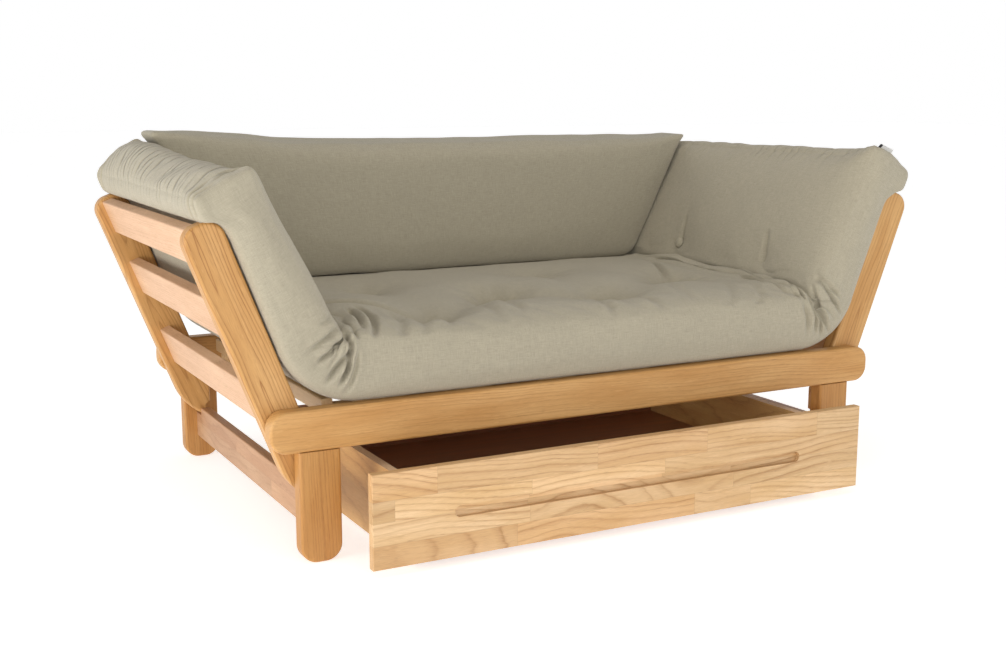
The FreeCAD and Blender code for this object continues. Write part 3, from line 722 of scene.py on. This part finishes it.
def futon_block():
    T = SEAT_T
    right = spaced([0, S_BEND - 0.11, S_ARM + 0.02, S_END - 0.05, S_END], [0.0140, 0.0060, 0.0140, 0.007])
    us = np.concatenate([-right[:0:-1], right])
    vs = spaced([-HALF_Y, -HALF_Y + 0.06, HALF_Y - 0.06, HALF_Y], [0.007, 0.0115, 0.009])
    ws = spaced([-T / 2, T / 2], [0.0088])
    points, quads, facing = shell(us, vs, ws)
    near_end = S_END - np.abs(points[:, 0])
    near_side = HALF_Y - np.abs(points[:, 1])
    corner = peak(np.hypot(near_end, near_side), 0.070)
    upper = ease(points[:, 2], -T / 2, T / 2)
    rear = ease(points[:, 1], HALF_Y - 0.2, HALF_Y - 0.1) * (1 - ease(np.abs(points[:, 0]), S_BEND, S_ARM))
    crown = 0.022 * upper * (1 - rear)
    radius = (0.034 + 0.008 * upper - (0.012 + 0.010 * upper) * corner,
              0.028 + crown - (0.010 + 0.020 * upper) * corner,
              0.032 + crown - (0.010 + 0.024 * upper) * corner)
    half = (S_END - 0.002, HALF_Y - 0.006, T / 2)
    scaled = points * np.array([half[0] / S_END, half[1] / HALF_Y, 1])
    block = soften(scaled, half, radius)
    block[:, 2] = block[:, 2] / T + 0.5
    block[:, 1] += MID_Y
    return bent(block), quads, facing, block, points


def make_futon():
    placed, quads, facing, block, points = futon_block()
    obj = build("futon", placed, quads, points, facing)
    s, y, h = np.abs(block[:, 0]), block[:, 1], block[:, 2]
    crease = band(s, S_BEND + 0.05, S_BEND + 0.09, S_ARM - 0.03, S_ARM + 0.01)
    hold = np.maximum.reduce([1 - ease(h, 0.04, 0.30), crease * ease(h, 0.55, 0.9),
                              ease(y, REAR_Y - 0.15, REAR_Y - 0.12) * ease(h, 0.7, 0.95),
                              peak(np.hypot(S_END - s, HALF_Y - np.abs(y - MID_Y)), 0.03)])
    for tx, ty, deep in SEAT_TUFTS:
        r = np.hypot(block[:, 0] - tx, y - ty)
        placed[:, 2] -= 0.018 * deep * peak(r, 0.045) * (h > 0.9) * (s < S_BEND)
        hold = np.maximum(hold, peak(r, 0.016) * (h > 0.9))
    for ty, tu, deep in PAD_TUFTS:
        for side in (-1, 1):
            r = np.hypot(block[:, 0] - side * tuft_length(tu), y - ty)
            push = 0.014 * deep * peak(r, 0.04) * (h > 0.9)
            placed[:, 0] += side * push * COS
            placed[:, 2] -= push * SIN
            hold = np.maximum(hold, peak(r, 0.016) * (h > 0.9))
    put_coords(obj.data, placed)
    inflate(obj, np.clip(hold, 0, 1), 4.0, 20, 0.020)
    refine(obj, 1)
    shape_futon(obj)
    return obj


def ridge(phase, sharp=0.8):
    """Rounded folds with narrow valleys, 0 in the valleys and 1 on the folds."""
    return np.abs(np.sin(phase)) ** sharp


def stroke(x, z, path, width):
    """How near each point is to a line of points, 1 on it, and how far along it, 0 to 1."""
    best = np.full(x.shape, 1e9)
    where = np.zeros(x.shape)
    path = np.array(path, float)
    lengths = np.linalg.norm(np.diff(path, axis=0), axis=1)
    total, run = lengths.sum(), 0.0
    for (a, b), length in zip(zip(path, path[1:]), lengths):
        d = b - a
        t = np.clip(((x - a[0]) * d[0] + (z - a[1]) * d[1]) / (d @ d), 0, 1)
        gap = np.hypot(x - a[0] - t * d[0], z - a[1] - t * d[1])
        closer = gap < best
        best = np.where(closer, gap, best)
        where = np.where(closer, (run + t * length) / total, where)
        run += length
    return peak(best, width), where


def fold(x, z, path, width, deep, lip=0.42, fade_in=True):
    """Displacement of a sharp valley with a raised lip along each side, fading towards its ends."""
    near, along = stroke(x, z, path, width)
    wide, _ = stroke(x, z, path, width * 2.7)
    start = ease(along, -0.02, 0.22) if fade_in else 1.0
    fade = start * (1 - ease(along, 0.62, 1.02))
    return deep * fade * (lip * wide - (1 + lip) * near)


def folds(x, z, rows, lip=0.42):
    """Displacement of all the folds in a table."""
    return sum(fold(x, z, np.array(path) / 1000, width / 1000, deep / 1000, lip, fade_in)
               for width, deep, fade_in, *path in rows)


# Folds, in millimetres: (width, depth, 1 if it fades in, then points along it).
# front and rear faces, left and right: the crease that runs down from the fold's corner, and its pleats
FACE_PLEATS = (((4.8, 16, 0, (545, 424), (540, 404), (542, 380), (550, 354), (564, 328)),
                (4.5, 6, 1, (562, 456), (604, 442)),
                (4.5, 10, 0, (552, 438), (578, 422), (622, 396)),
                (4.8, 11, 0, (545, 415), (572, 396), (608, 372)),
                (5.2, 13, 0, (542, 388), (568, 363), (594, 330)),
                (4.5, 11, 1, (542, 370), (552, 348), (566, 325)),
                (5.5, 8, 1, (528, 395), (532, 360), (546, 324), (560, 302))),
               ((5, 19, 0, (545, 452), (553, 405), (570, 360), (572, 312)),
                (5, 15, 0, (556, 440), (568, 388), (586, 345), (600, 322)),
                (4.8, 12, 1, (540, 415), (556, 368), (556, 322)),
                (4.8, 12, 0, (572, 448), (590, 424), (611, 392), (632, 364)),
                (4.5, 10, 0, (566, 462), (604, 424), (628, 400)),
                (5.5, 7, 1, (526, 400), (535, 355), (530, 325))))
# seat: signed length, depth
SEAT_FOLDS = ((6, 16, 1, (-474, -160), (-490, -255), (-508, -345)),
              (7, 14, 1, (-456, -150), (-460, -240), (-474, -305), (-500, -390)),
              (12, 7, 1, (-395, -190), (-414, -295), (-444, -405)),
              (12, 5, 1, (-350, -220), (-372, -310), (-395, -400)),
              (12, 4, 1, (-300, -200), (-318, -300), (-332, -380)),
              (8, 11, 1, (-440, 180), (-452, 110), (-485, 50)),
              (7, 11, 1, (-500, 170), (-490, 90), (-510, 20)),
              (15, 11, 1, (-520, -40), (-440, -110), (-345, -205)),
              (12, 6, 1, (-180, -160), (-200, -260), (-215, -350)),
              (12, 6, 1, (-130, -130), (-140, -250), (-150, -340)),
              (11, 6, 1, (50, -240), (45, -310), (35, -380)),
              (11, 6, 1, (140, -235), (155, -310), (160, -370)),
              (8, 11, 1, (480, 200), (425, 55), (378, -60)),
              (13, 5, 1, (425, -200), (370, -300), (310, -390)),
              (12, 5, 1, (470, -240), (430, -330), (380, -410)),
              (13, 4, 1, (300, -150), (262, -260), (240, -360)))
# right-hand fold: where the seat's cover bunches up against the arm section
BUNCH_FOLDS = ((5.5, 15, 1, (512, 230), (530, 130), (520, 20), (535, -60)),
               (7, 18, 1, (640, 60), (590, -50), (560, -150), (520, -240)),
               (6.5, 14, 1, (560, 190), (600, 90), (610, 20)),
               (7, 18, 1, (630, -130), (600, -230), (560, -320), (545, -410)),
               (6.5, 15, 1, (650, -180), (640, -280), (630, -370), (620, -425)),
               (7, 11, 1, (520, -130), (505, -250), (500, -350)))


def shape_futon(obj):
    """Tuft puckers, crease folds, front wrinkles and end gathers, added to the filled cover."""
    mesh = obj.data
    flat = flat_of(obj)
    S, y, h = flat[:, 0], flat[:, 1] + MID_Y, flat[:, 2] / SEAT_T + 0.5
    s = np.abs(S)
    side = np.where(S < 0, 0, 1)
    outward = np.where(S < 0, -1, 1)
    p = coords(mesh)
    out = np.zeros(len(p))
    top = ease(h, 0.90, 0.995)
    clear = 1 - ease(y, REAR_Y - 0.165, REAR_Y - 0.115)
    # on the right the seat's cover bunches into a roll against the arm section
    turn = (s - S_BEND) / (S_ARM - S_BEND)
    roll = np.sin(np.pi * np.clip((turn + 0.10) / 0.74, 0, 1)) ** 0.9
    tall = np.where(side == 1, 0.024, 0.006) * (0.80 + 0.45 * wave(y * 7, 0 * y + side, 24))
    raised = np.where(side == 1, 0.016, 0.0) * band(turn, 0.2, 0.6, 0.64, 0.95)
    run = ease(y, FRONT_Y + 0.01, FRONT_Y + 0.13) * clear * ease(h, 0.80, 0.99)
    p[:, 2] += run * (roll * tall + raised)
    # at the front the arm section's lower edge hangs over the crease
    hang = peak(turn - 0.86, 0.20) * ease(h, 0.45, 1.0) * (1 - ease(y, FRONT_Y + 0.03, FRONT_Y + 0.13))
    p[:, 0] -= outward * 0.012 * hang
    p[:, 2] -= 0.022 * hang
    put_coords(mesh, p)
    nrm = normals(mesh)
    open_top = top * clear
    on_seat = 1 - ease(s, S_BEND + 0.02, S_BEND + 0.06)
    # soft hills between the tufts, and puckers that run out of each
    for k, (tx, ty, deep) in enumerate(SEAT_TUFTS):
        dx, dy = S - tx, y - ty
        r = np.hypot(dx, dy)
        angle = np.arctan2(dy, dx)
        rays = np.cos(7 * angle + 1.7 * k + 1.2 * wave(angle * 2, r * 20, 40 + k))
        out += open_top * on_seat * deep * (
            -0.014 * peak(r, 0.018) - 0.015 * peak(r, 0.080)
            + 0.0090 * rays * (r / 0.05) * np.exp(-r / 0.038))
    for first, second, deep in ((0, 1, 0.010), (1, 2, 0.009), (2, 3, 0.010), (0, 4, 0.006), (2, 5, 0.006)):
        near, _ = stroke(S, y, [SEAT_TUFTS[first][:2], SEAT_TUFTS[second][:2]], 0.045)
        out -= open_top * deep * near
    # short pulls down the front edge, then the long folds
    drift = S + 0.9 * (y - FRONT_Y)
    pulls = ridge(drift * 46 + 1.4 * wave(S * 9, y * 9, 5), 0.7)
    edge_zone = peak(y - FRONT_Y - 0.055, 0.06) * ease(h, 0.55, 0.9)
    out += 0.0055 * (pulls - 0.6) * edge_zone * on_seat * (0.5 + 0.5 * wave(S * 4, y * 2, 8))
    out += open_top * folds(S, y, SEAT_FOLDS + BUNCH_FOLDS)
    # layered folds along the crease, where the seat meets each arm section
    wob = 0.9 * wave(side * 3, y * 7, 21) + 0.5 * wave(side * 3, y * 19, 22)
    zone = band(s, S_BEND - 0.06, S_BEND + 0.02, S_ARM - 0.02, S_ARM + 0.03)
    phase = (s - S_BEND) * 46 + 1.6 * wob
    out += zone * top * clear * (0.0120 * (ridge(phase, 0.6) - 0.55)) * np.where(side == 1, 0.5, 0.9)
    # wrinkles that run out of the crease over the front and rear faces
    for face, mark in ((-1, FRONT_Y), (1, REAR_Y)):
        flatness = ease(face * (y - mark), -0.03, -0.006)
        window = band(s, S_BEND + 0.015, S_BEND + 0.05, S_ARM - 0.035, S_ARM + 0.012)
        fade = ease(h, 0.16, 0.62) * (1 - ease(h, 0.93, 1.0) * 0.4)
        phase = (s - S_BEND) * 96 + 0.9 * wave(s * 12, h * 2.2, 30 + face) + 0.5 * side
        out += 0.0050 * flatness * window * fade * (ridge(phase, 0.6) - 0.70)
        for hand, pleats in enumerate(FACE_PLEATS):
            out += flatness * (side == hand) * folds(np.abs(p[:, 0]), p[:, 2], pleats, 0.40)
    # gathers over each free end, and the tucked corners
    at_end = ease(s, S_END - 0.085, S_END - 0.02)
    lines = ridge((y + 0.10 * (h - 0.5)) * 40 + 1.1 * wave(y * 6, h * 2, 51), 0.4)
    out += 0.0040 * at_end * (lines - 0.78) * (0.65 + 0.35 * wave(y * 5, h * 3, 52))
    dart = [(0.95, 0.030), (0.70, 0.040), (0.40, 0.036)]
    for corner_y in (FRONT_Y, REAR_Y):
        gap_y = np.abs(y - corner_y)
        for shift in (0.022, 0.048):
            tuck = peak(gap_y - shift, 0.0050) * peak(s - S_END + 0.012, 0.030)
            out -= 0.0110 * tuck * (1 - ease(h, 0.16, 0.50))
        out += at_end * fold(h, gap_y, dart, 0.006, 0.007, 0.5, False)
    middle = np.clip(1 - (2 * (h - 0.5)) ** 2, 0, 1) * ease(np.abs(y - MID_Y), HALF_Y - 0.03, HALF_Y - 0.12)
    out += 0.012 * ease(s, S_END - 0.03, S_END - 0.004) * middle
    for ty, tu, _ in PAD_TUFTS:
        at = tuft_length(tu)
        pull = [(at, ty), (at + 0.03, ty + 0.002), (at + 0.08, ty + 0.005)]
        out += top * fold(s, y, pull, 0.007, 0.008, 0.3, False)
    # slow unevenness of the filling
    free = 1 - (1 - ease(h, 0.05, 0.25)) * 0.85
    out += free * clear * 0.0022 * wave(S * 5.5, y * 5.5 + h * 3, 61, 2)
    out += free * 0.0010 * wave(S * 16, y * 16 + h * 5, 64, 2)
    p += nrm * out[:, None]
    fuller = np.where(side == 0, 0.024 * ease(y, -0.05, 0.26), 0.011 * (1 - ease(y, FRONT_Y + 0.02, FRONT_Y + 0.14)))
    rise = fuller * ease(h, -0.15, 0.60) * ease(s, S_END - 0.16, S_END - 0.02)
    p[:, 0] += outward * rise * SIN
    p[:, 2] += rise * COS
    # the futon rests flat on the rails and against the boards, and stays off the back cushion
    low = (s < S_BEND) & (h < 0.5)
    p[low, 2] = np.maximum(p[low, 2], SEAT_LOW + 0.0005)
    ax = np.abs(p[:, 0]) - PIVOT[0]
    v = -ax * COS + (p[:, 2] - PIVOT[1]) * SIN
    u = ax * SIN + (p[:, 2] - PIVOT[1]) * COS
    back = (s > S_ARM - 0.02) & (h < 0.5)
    round_top = 0.007 + np.sqrt(np.clip(0.032 ** 2 - np.clip(u - BOARD_TOP + 0.032, 0, 0.032) ** 2, 0, 1))
    least = np.where(u < BOARD_TOP + 0.0015, round_top, -0.006)
    between = np.abs(p[:, 1] - MID_Y) < HALF_Y - 0.036
    least = np.where(between, -0.0045, least)
    v = np.where(back, np.maximum(v, least), v)
    x, z = arm_xz(v, u)
    p[back, 0], p[back, 2] = (np.sign(p[:, 0]) * x)[back], z[back]
    p[:, 1] = np.clip(p[:, 1], FRONT_Y - 0.016, REAR_Y + 0.010)
    under = (s < S_BEND + 0.06) & (h > 0.5) & (p[:, 1] > REAR_Y - BACK_T - 0.004)
    p[under, 2] = np.minimum(p[under, 2], SEAT_HIGH - SINK)
    put_coords(mesh, p)


def split_futon(whole):
    """Two halves that meet at the middle, with the whole's own shading across the cut."""
    mesh = whole.data
    halves = []
    flat = flat_of(whole)
    loops = np.zeros(len(mesh.loops), int)
    mesh.loops.foreach_get("vertex_index", loops)
    quads = loops.reshape(-1, 4)
    uv = np.zeros(len(mesh.loops) * 2, np.float32)
    mesh.uv_layers["weave"].data.foreach_get("uv", uv)
    uv = uv.reshape(-1, 4, 2)
    points, nrm = coords(mesh), normals(mesh)
    middle = flat[quads, 0].mean(1)
    drop = flat[:, 2] / SEAT_T + 0.5
    gather = ease(np.abs(flat[:, 0]), S_END - 0.050, S_END - 0.010) * ease(drop, -0.25, 0.25)
    gather *= ease(HALF_Y - np.abs(flat[:, 1]), 0.01, 0.05) * np.where(flat[:, 0] > 0, 0.4, 1.0)
    for name, chosen in (("futon_left", middle < 0), ("futon_right", middle > 0)):
        faces = quads[chosen]
        used, again = np.unique(faces, return_inverse=True)
        again = again.reshape(faces.shape)
        part = bpy.data.meshes.new(name)
        part.from_pydata(points[used].tolist(), [], again.tolist())
        layer = part.uv_layers.new(name="weave")
        layer.data.foreach_set("uv", np.ascontiguousarray(uv[chosen]).ravel())
        smooth(part)
        part.normals_split_custom_set_from_vertices(nrm[used].tolist())
        for key, values in (("gather", gather), ("across", flat[:, 1]), ("drop", drop)):
            store = part.attributes.new(key, "FLOAT", "POINT")
            store.data.foreach_set("value", np.ascontiguousarray(values[used], np.float32))
        halves.append(add_object(name, part))
    bpy.data.objects.remove(whole)
    return halves


# ---------------------------------------------------------------- back cushion

def make_cushion():
    low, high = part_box("back_cushion")
    mid = (low + high) / 2
    half = (high - low) / 2
    H = half.z * 2
    width = half.x                                  # at the top
    us = spaced([-1, -0.9, 0.9, 1], [0.02, 0.024, 0.02])
    vs = spaced([-half.y, half.y], [0.0115])
    ws = spaced([-half.z, half.z], [0.0135])
    points, quads, facing = shell(us * width, vs, ws)
    near_end = width - np.abs(points[:, 0])
    near_top = half.z - points[:, 2]
    near_low = half.z + points[:, 2]
    top_corner = peak(np.hypot(near_end, near_top), 0.06)
    low_corner = peak(np.hypot(near_end, near_low), 0.08)
    radius = (0.018 - 0.008 * top_corner + 0.03 * low_corner, 0.022 - 0.010 * top_corner,
              0.022 - 0.011 * top_corner + 0.012 * low_corner)
    sizes = (width - 0.001, half.y - 0.005, half.z - 0.001)
    block = soften(points * np.array([sizes[0] / width, sizes[1] / half.y, sizes[2] / half.z]), sizes, radius)
    free_x, free_z = arm_xz(0.127, 0.467)
    slope = (free_x - HIGH_FOLD[0]) / (free_z - HIGH_FOLD[1])
    rise = block[:, 2] + half.z
    reach = 1 - (H - rise) * slope / width
    placed = np.stack([block[:, 0] * reach, block[:, 1] + mid.y, block[:, 2] + mid.z], 1)
    obj = build("cushion", placed, quads, points, facing)
    hold = np.maximum.reduce([ease(near_low, 0.03, 0.0), ease(near_end, 0.03, 0.0) * 0.8, top_corner,
                              1 - ease(half.y - points[:, 1], 0.0, 0.02)])
    inflate(obj, np.clip(hold, 0, 1), 3.0, 16, 0.012)
    refine(obj, 1)
    mesh = obj.data
    flat = flat_of(obj)
    p, nrm = coords(mesh), normals(mesh)
    x, y, z = flat[:, 0], flat[:, 1], flat[:, 2]
    front = ease(-y, half.y - 0.02, half.y - 0.004)
    up = ease(z, half.z - 0.03, half.z - 0.004)
    bulge = np.cos(np.pi / 2 * np.clip(np.abs(x) / width, 0, 1)) ** 0.5 * np.cos(np.pi * z / H)
    out = front * 0.010 * bulge
    out += up * (0.0030 * wave(x * 7, y * 3, 71, 2) + 0.0015)
    out += 0.0016 * wave(x * 5, z * 6 + y * 4, 74, 2) + 0.0007 * wave(x * 18, z * 18 + y * 9, 77)
    edge = peak(half.z - z, 0.02)
    out += 0.0011 * edge * front * (ridge(x * 60 + wave(x * 11, z, 79), 0.7) - 0.6)
    # a pinched ear at each top corner, and the left end of the top stands higher
    ear = peak(np.hypot(width - np.abs(x), half.z - z), 0.030)
    p += nrm * out[:, None]
    high_side = 0.021 * ease(-x, 0.30, 0.66) * ease(z, half.z - 0.16, half.z - 0.01)
    p[:, 0] += np.sign(x) * ear * 0.004
    p[:, 2] += high_side + ear * 0.004
    p[:, 2] -= up * (0.005 - 0.004 * wave(x * 2.2, 0.5 + 0 * x, 83))
    bottom = SEAT_HIGH - SINK + 0.001
    p[:, 2] = np.where(z < 0, bottom + (p[:, 2] - low.z) * (H / 2 + SINK) / (H / 2), p[:, 2])
    p[:, 2] = np.clip(p[:, 2], bottom, high.z + 0.024)
    narrow = HIGH_FOLD[0] - 0.002
    limit = np.interp(p[:, 2], [SEAT_HIGH, high.z], [narrow, narrow + (high.z - SEAT_HIGH) * slope])
    p[:, 0] = np.clip(p[:, 0], -limit - 0.004 * up, limit + 0.004 * up)
    p[:, 1] = np.clip(p[:, 1], low.y - 0.012, high.y + 0.008)
    put_coords(mesh, p)
    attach(obj, "frame")
    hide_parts("back_cushion")
    return obj


# ---------------------------------------------------------------- buttons and tag

def lathe_mesh(name, profile, turns=28):
    """Round mesh from (radius, height) points, its ends on the axis."""
    points, faces = [], []
    for k in range(turns):
        a = 2 * math.pi * k / turns
        points += [(r * math.cos(a), r * math.sin(a), z) for r, z in profile[1:-1]]
    rows = len(profile) - 2
    low, high = len(points), len(points) + 1
    points += [(0, 0, profile[0][1]), (0, 0, profile[-1][1])]
    for k in range(turns):
        a, b = k * rows, (k + 1) % turns * rows
        faces += [(a + j, b + j, b + j + 1, a + j + 1) for j in range(rows - 1)]
        faces += [(low, b, a), (high, a + rows - 1, b + rows - 1)]
    return round_mesh(name, points, faces, lambda k, co: (co.x, co.y))


def button(name, place, axis, body, fabric):
    """Fabric-covered button, about 26 mm across, with a rolled rim and a crowned face."""
    profile = [(0, -0.004), (0.008, -0.004), (0.0122, -0.0028), (0.0132, 0.0), (0.0126, 0.0030), (0.0102, 0.0054),
               (0.0070, 0.0068), (0.0035, 0.0074), (0, 0.0075)]
    obj = add_object(name, lathe_mesh(name, profile))
    obj.data.materials.append(fabric)
    turn = Vector(axis).to_track_quat("Z", "Y").to_matrix().to_4x4()
    obj.matrix_world = Matrix.Translation(place) @ turn
    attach(obj, body)
    return obj


def care_tag(name, place, along, out, body):
    """Plain woven tag caught in the pad's end seam: a folded strip, its dark end towards the inside."""
    long, wide, rows, columns = 0.040, 0.015, 18, 8
    points, quads = [], []
    along, out = Vector(along).normalized(), Vector(out).normalized()
    face = along.cross(out)
    for layer in (0, 1):
        for i in range(rows + 1):
            for j in range(columns + 1):
                a, b = i / rows, j / columns
                thick = 0.0011 * (1 - (2 * b - 1) ** 2 * b ** 2) + 0.0003
                curl = 0.0030 * b * b * math.sin(2.4 * a + 0.4)
                points.append(Vector(place) + along * (long * a) + out * (wide * b - 0.003)
                              + face * (curl + (thick if layer else -thick)))
    rim = (rows + 1) * (columns + 1)
    for i in range(rows):
        for j in range(columns):
            q = i * (columns + 1) + j
            ring = (q, q + 1, q + columns + 2, q + columns + 1)
            quads += [ring[::-1], tuple(k + rim for k in ring)]
    edge = [i * (columns + 1) for i in range(rows + 1)]
    edge += [rows * (columns + 1) + j for j in range(1, columns + 1)]
    edge += [i * (columns + 1) + columns for i in range(rows - 1, -1, -1)] + list(range(columns - 1, 0, -1))
    for a, b in zip(edge, edge[1:] + edge[:1]):
        quads.append((a, b, b + rim, a + rim))
    obj = add_object(name, round_mesh(name, points, quads, lambda k, co: (
        k % rim // (columns + 1) / rows * long, k % rim % (columns + 1) / columns * wide)))
    n = Net(name)
    u, v, _ = n.split(n.node("UVMap", uv_map="weave").outputs[0])
    rib = n.math("ABSOLUTE", n.math("SINE", n.mul(u, 5200)))
    fuzz = n.noise(n.at((u, 900), (v, 900), 0.0), 1, 3, 0.6)
    pale = n.mix(n.mul(fuzz, 0.4), linear((232, 232, 230)), linear((206, 206, 204)))
    dark = n.mix(n.mul(fuzz, 0.5), linear((52, 52, 55)), linear((78, 78, 80)))
    colour = n.mix(n.over(u, 0.0055), dark, pale)
    obj.data.materials.append(n.finish(colour, n.remap(fuzz, 0, 1, 0.7, 0.9), rib, 0.0002, 0.4, 0.2))
    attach(obj, body)
    return obj


def surface_point(obj, start, direction):
    """Where a line first meets the piece, or None."""
    bpy.context.evaluated_depsgraph_get().update()
    hit, place, _, _ = obj.ray_cast(Vector(start), Vector(direction).normalized())
    return place if hit else None


# ---------------------------------------------------------------- putting it together

def paint(obj, mat):
    obj.data.materials.clear()
    obj.data.materials.append(mat)


def centre_of(name):
    low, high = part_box(name)
    return (low + high) / 2


def paint_frame():
    X, Y, Z = (1, 0, 0), (0, 1, 0), (0, 0, 1)
    seed = 1.0

    def wood(name, along, across, into, tones=HONEY, **how):
        nonlocal seed
        seed += 2.37
        paint(NODES[name], board(name, along, across, into, tones, seed, centre_of(name), **how))

    # the seed goes up with each call, so their order sets the figure
    wood("front_rail", X, Z, Y, pith=(0.01, 0.06), rings=0.008, sway=0.018, figure=0.9)
    wood("rear_rail", X, Z, Y, pith=(0.0, 0.09), figure=0.7)
    for end in ("front", "rear"):
        for hand in ("left", "right"):
            wood(f"leg_{end}_{hand}", Z, X, Y, DEEP_HONEY, pith=(0.03, 0.04), sway=0.010, figure=1.0)
    lean = {"left": (-SIN, 0, COS), "right": (SIN, 0, COS)}
    over = {"left": (COS, 0, SIN), "right": (-COS, 0, SIN)}
    for hand in ("left", "right"):
        strips = [(-1, (-0.1,)), (0.090, (0.14,))]
        paint(NODES[f"stretcher_{hand}"], strip_wood(f"stretcher_{hand}", Y, Z, X, strips, SHADED_OAK, 3.0, 0.7))
        for end in ("front", "rear"):
            wood(f"arm_{hand}_board_{end}", lean[hand], over[hand], Y, pith=(0.004, 0.016), rings=0.0072, sway=0.022,
                 tilt=0.0, figure=1.65)
        for place in ("bottom", "middle", "top"):
            wood(f"arm_{hand}_slat_{place}", Y, lean[hand], over[hand], PINK_OAK, pith=(0.0, 0.05), figure=0.7)
    for end in ("front", "rear"):
        wood(f"ledger_{end}", X, Z, Y, SPRUCE, figure=0.6)
        wood(f"seat_bearer_{end}", X, Y, Z, SPRUCE, figure=0.6)
    for hand in ("left", "right"):
        wood(f"seat_end_{hand}", Y, X, Z, SPRUCE, figure=0.6)
    for k in range(1, 7):
        low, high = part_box(f"seat_slat_{k}")
        wood(f"seat_slat_{k}", X if high.x - low.x > 0.3 else Y, Y, Z, SPRUCE, figure=0.7)
    strips = [(-1, (-0.272, 0.134, 0.275)), (0.061, (-0.245, 0.230)), (0.103, (-0.520, -0.241, 0.060)),
              (0.143, (-0.436, -0.097, 0.162, 0.446))]
    paint(NODES["drawer_front"], strip_wood("drawer_front", X, Z, Y, strips, PALE_OAK, 11.0, 1.35))
    ply = birch_ply("birch_ply")
    dark = dark_board("dark_board")
    for name, mat in (("side_left", ply), ("side_right", ply), ("back", dark), ("bottom", dark)):
        paint(NODES["drawer_" + name], mat)
    bright, black = steel("zinc_steel"), plastic("castor_plastic")
    bracket = steel("castor_steel", (150, 152, 156), 0.42)
    dowel = board("dowel", Y, X, Z, SPRUCE, 44.0, (0, 0, 0), figure=0.5)
    for name, node in NODES.items():
        if name.startswith(("pivot_pin", "castor_axles", "castor_screws", "slat_screws")):
            paint(node, bright)
        elif name.startswith("castor_bracket"):
            paint(node, bracket)
        elif name.startswith("castor_wheel"):
            paint(node, black)
        elif name.startswith("stop_dowel"):
            paint(node, dowel)


make_camera()
make_stage()
paint_frame()
futon_cloth = linen("futon_linen", FABRIC, 0.0, gathers=True)
cushion_cloth = linen("cushion_linen", tuple(int(c * 0.97) for c in FABRIC), 5.0)

cushion = make_cushion()
paint(cushion, cushion_cloth)
whole = make_futon()
left, right = split_futon(whole)
SIDES = ((left, "left", -1), (right, "right", 1))
for obj, hand, sign in SIDES:
    paint(obj, futon_cloth)
    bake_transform(obj)
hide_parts("futon_seat", "futon_arm_left")
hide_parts("futon_arm_right")

button_cloth = linen("button_linen", tuple(int(c * 1.02) for c in FABRIC), 8.0)
tuft_y, tuft_u, _ = PAD_TUFTS[1]
for obj, hand, sign in SIDES:
    x, z = arm_xz(0.30, tuft_u)
    inward = Vector((-sign * COS, 0, SIN))
    place = surface_point(obj, (sign * x, tuft_y, z), -inward)
    if place is not None:
        button(f"button_{hand}_2", place + inward * 0.010, inward, f"{hand}_arm", button_cloth)

x, z = arm_xz(0.098, 0.600)
place = surface_point(right, (x, FRONT_Y + 0.034, z), (-SIN, 0, -COS))
if place is not None:
    care_tag("care_tag", place, (COS, 0, -SIN), (SIN, -0.5, COS), "right_arm")
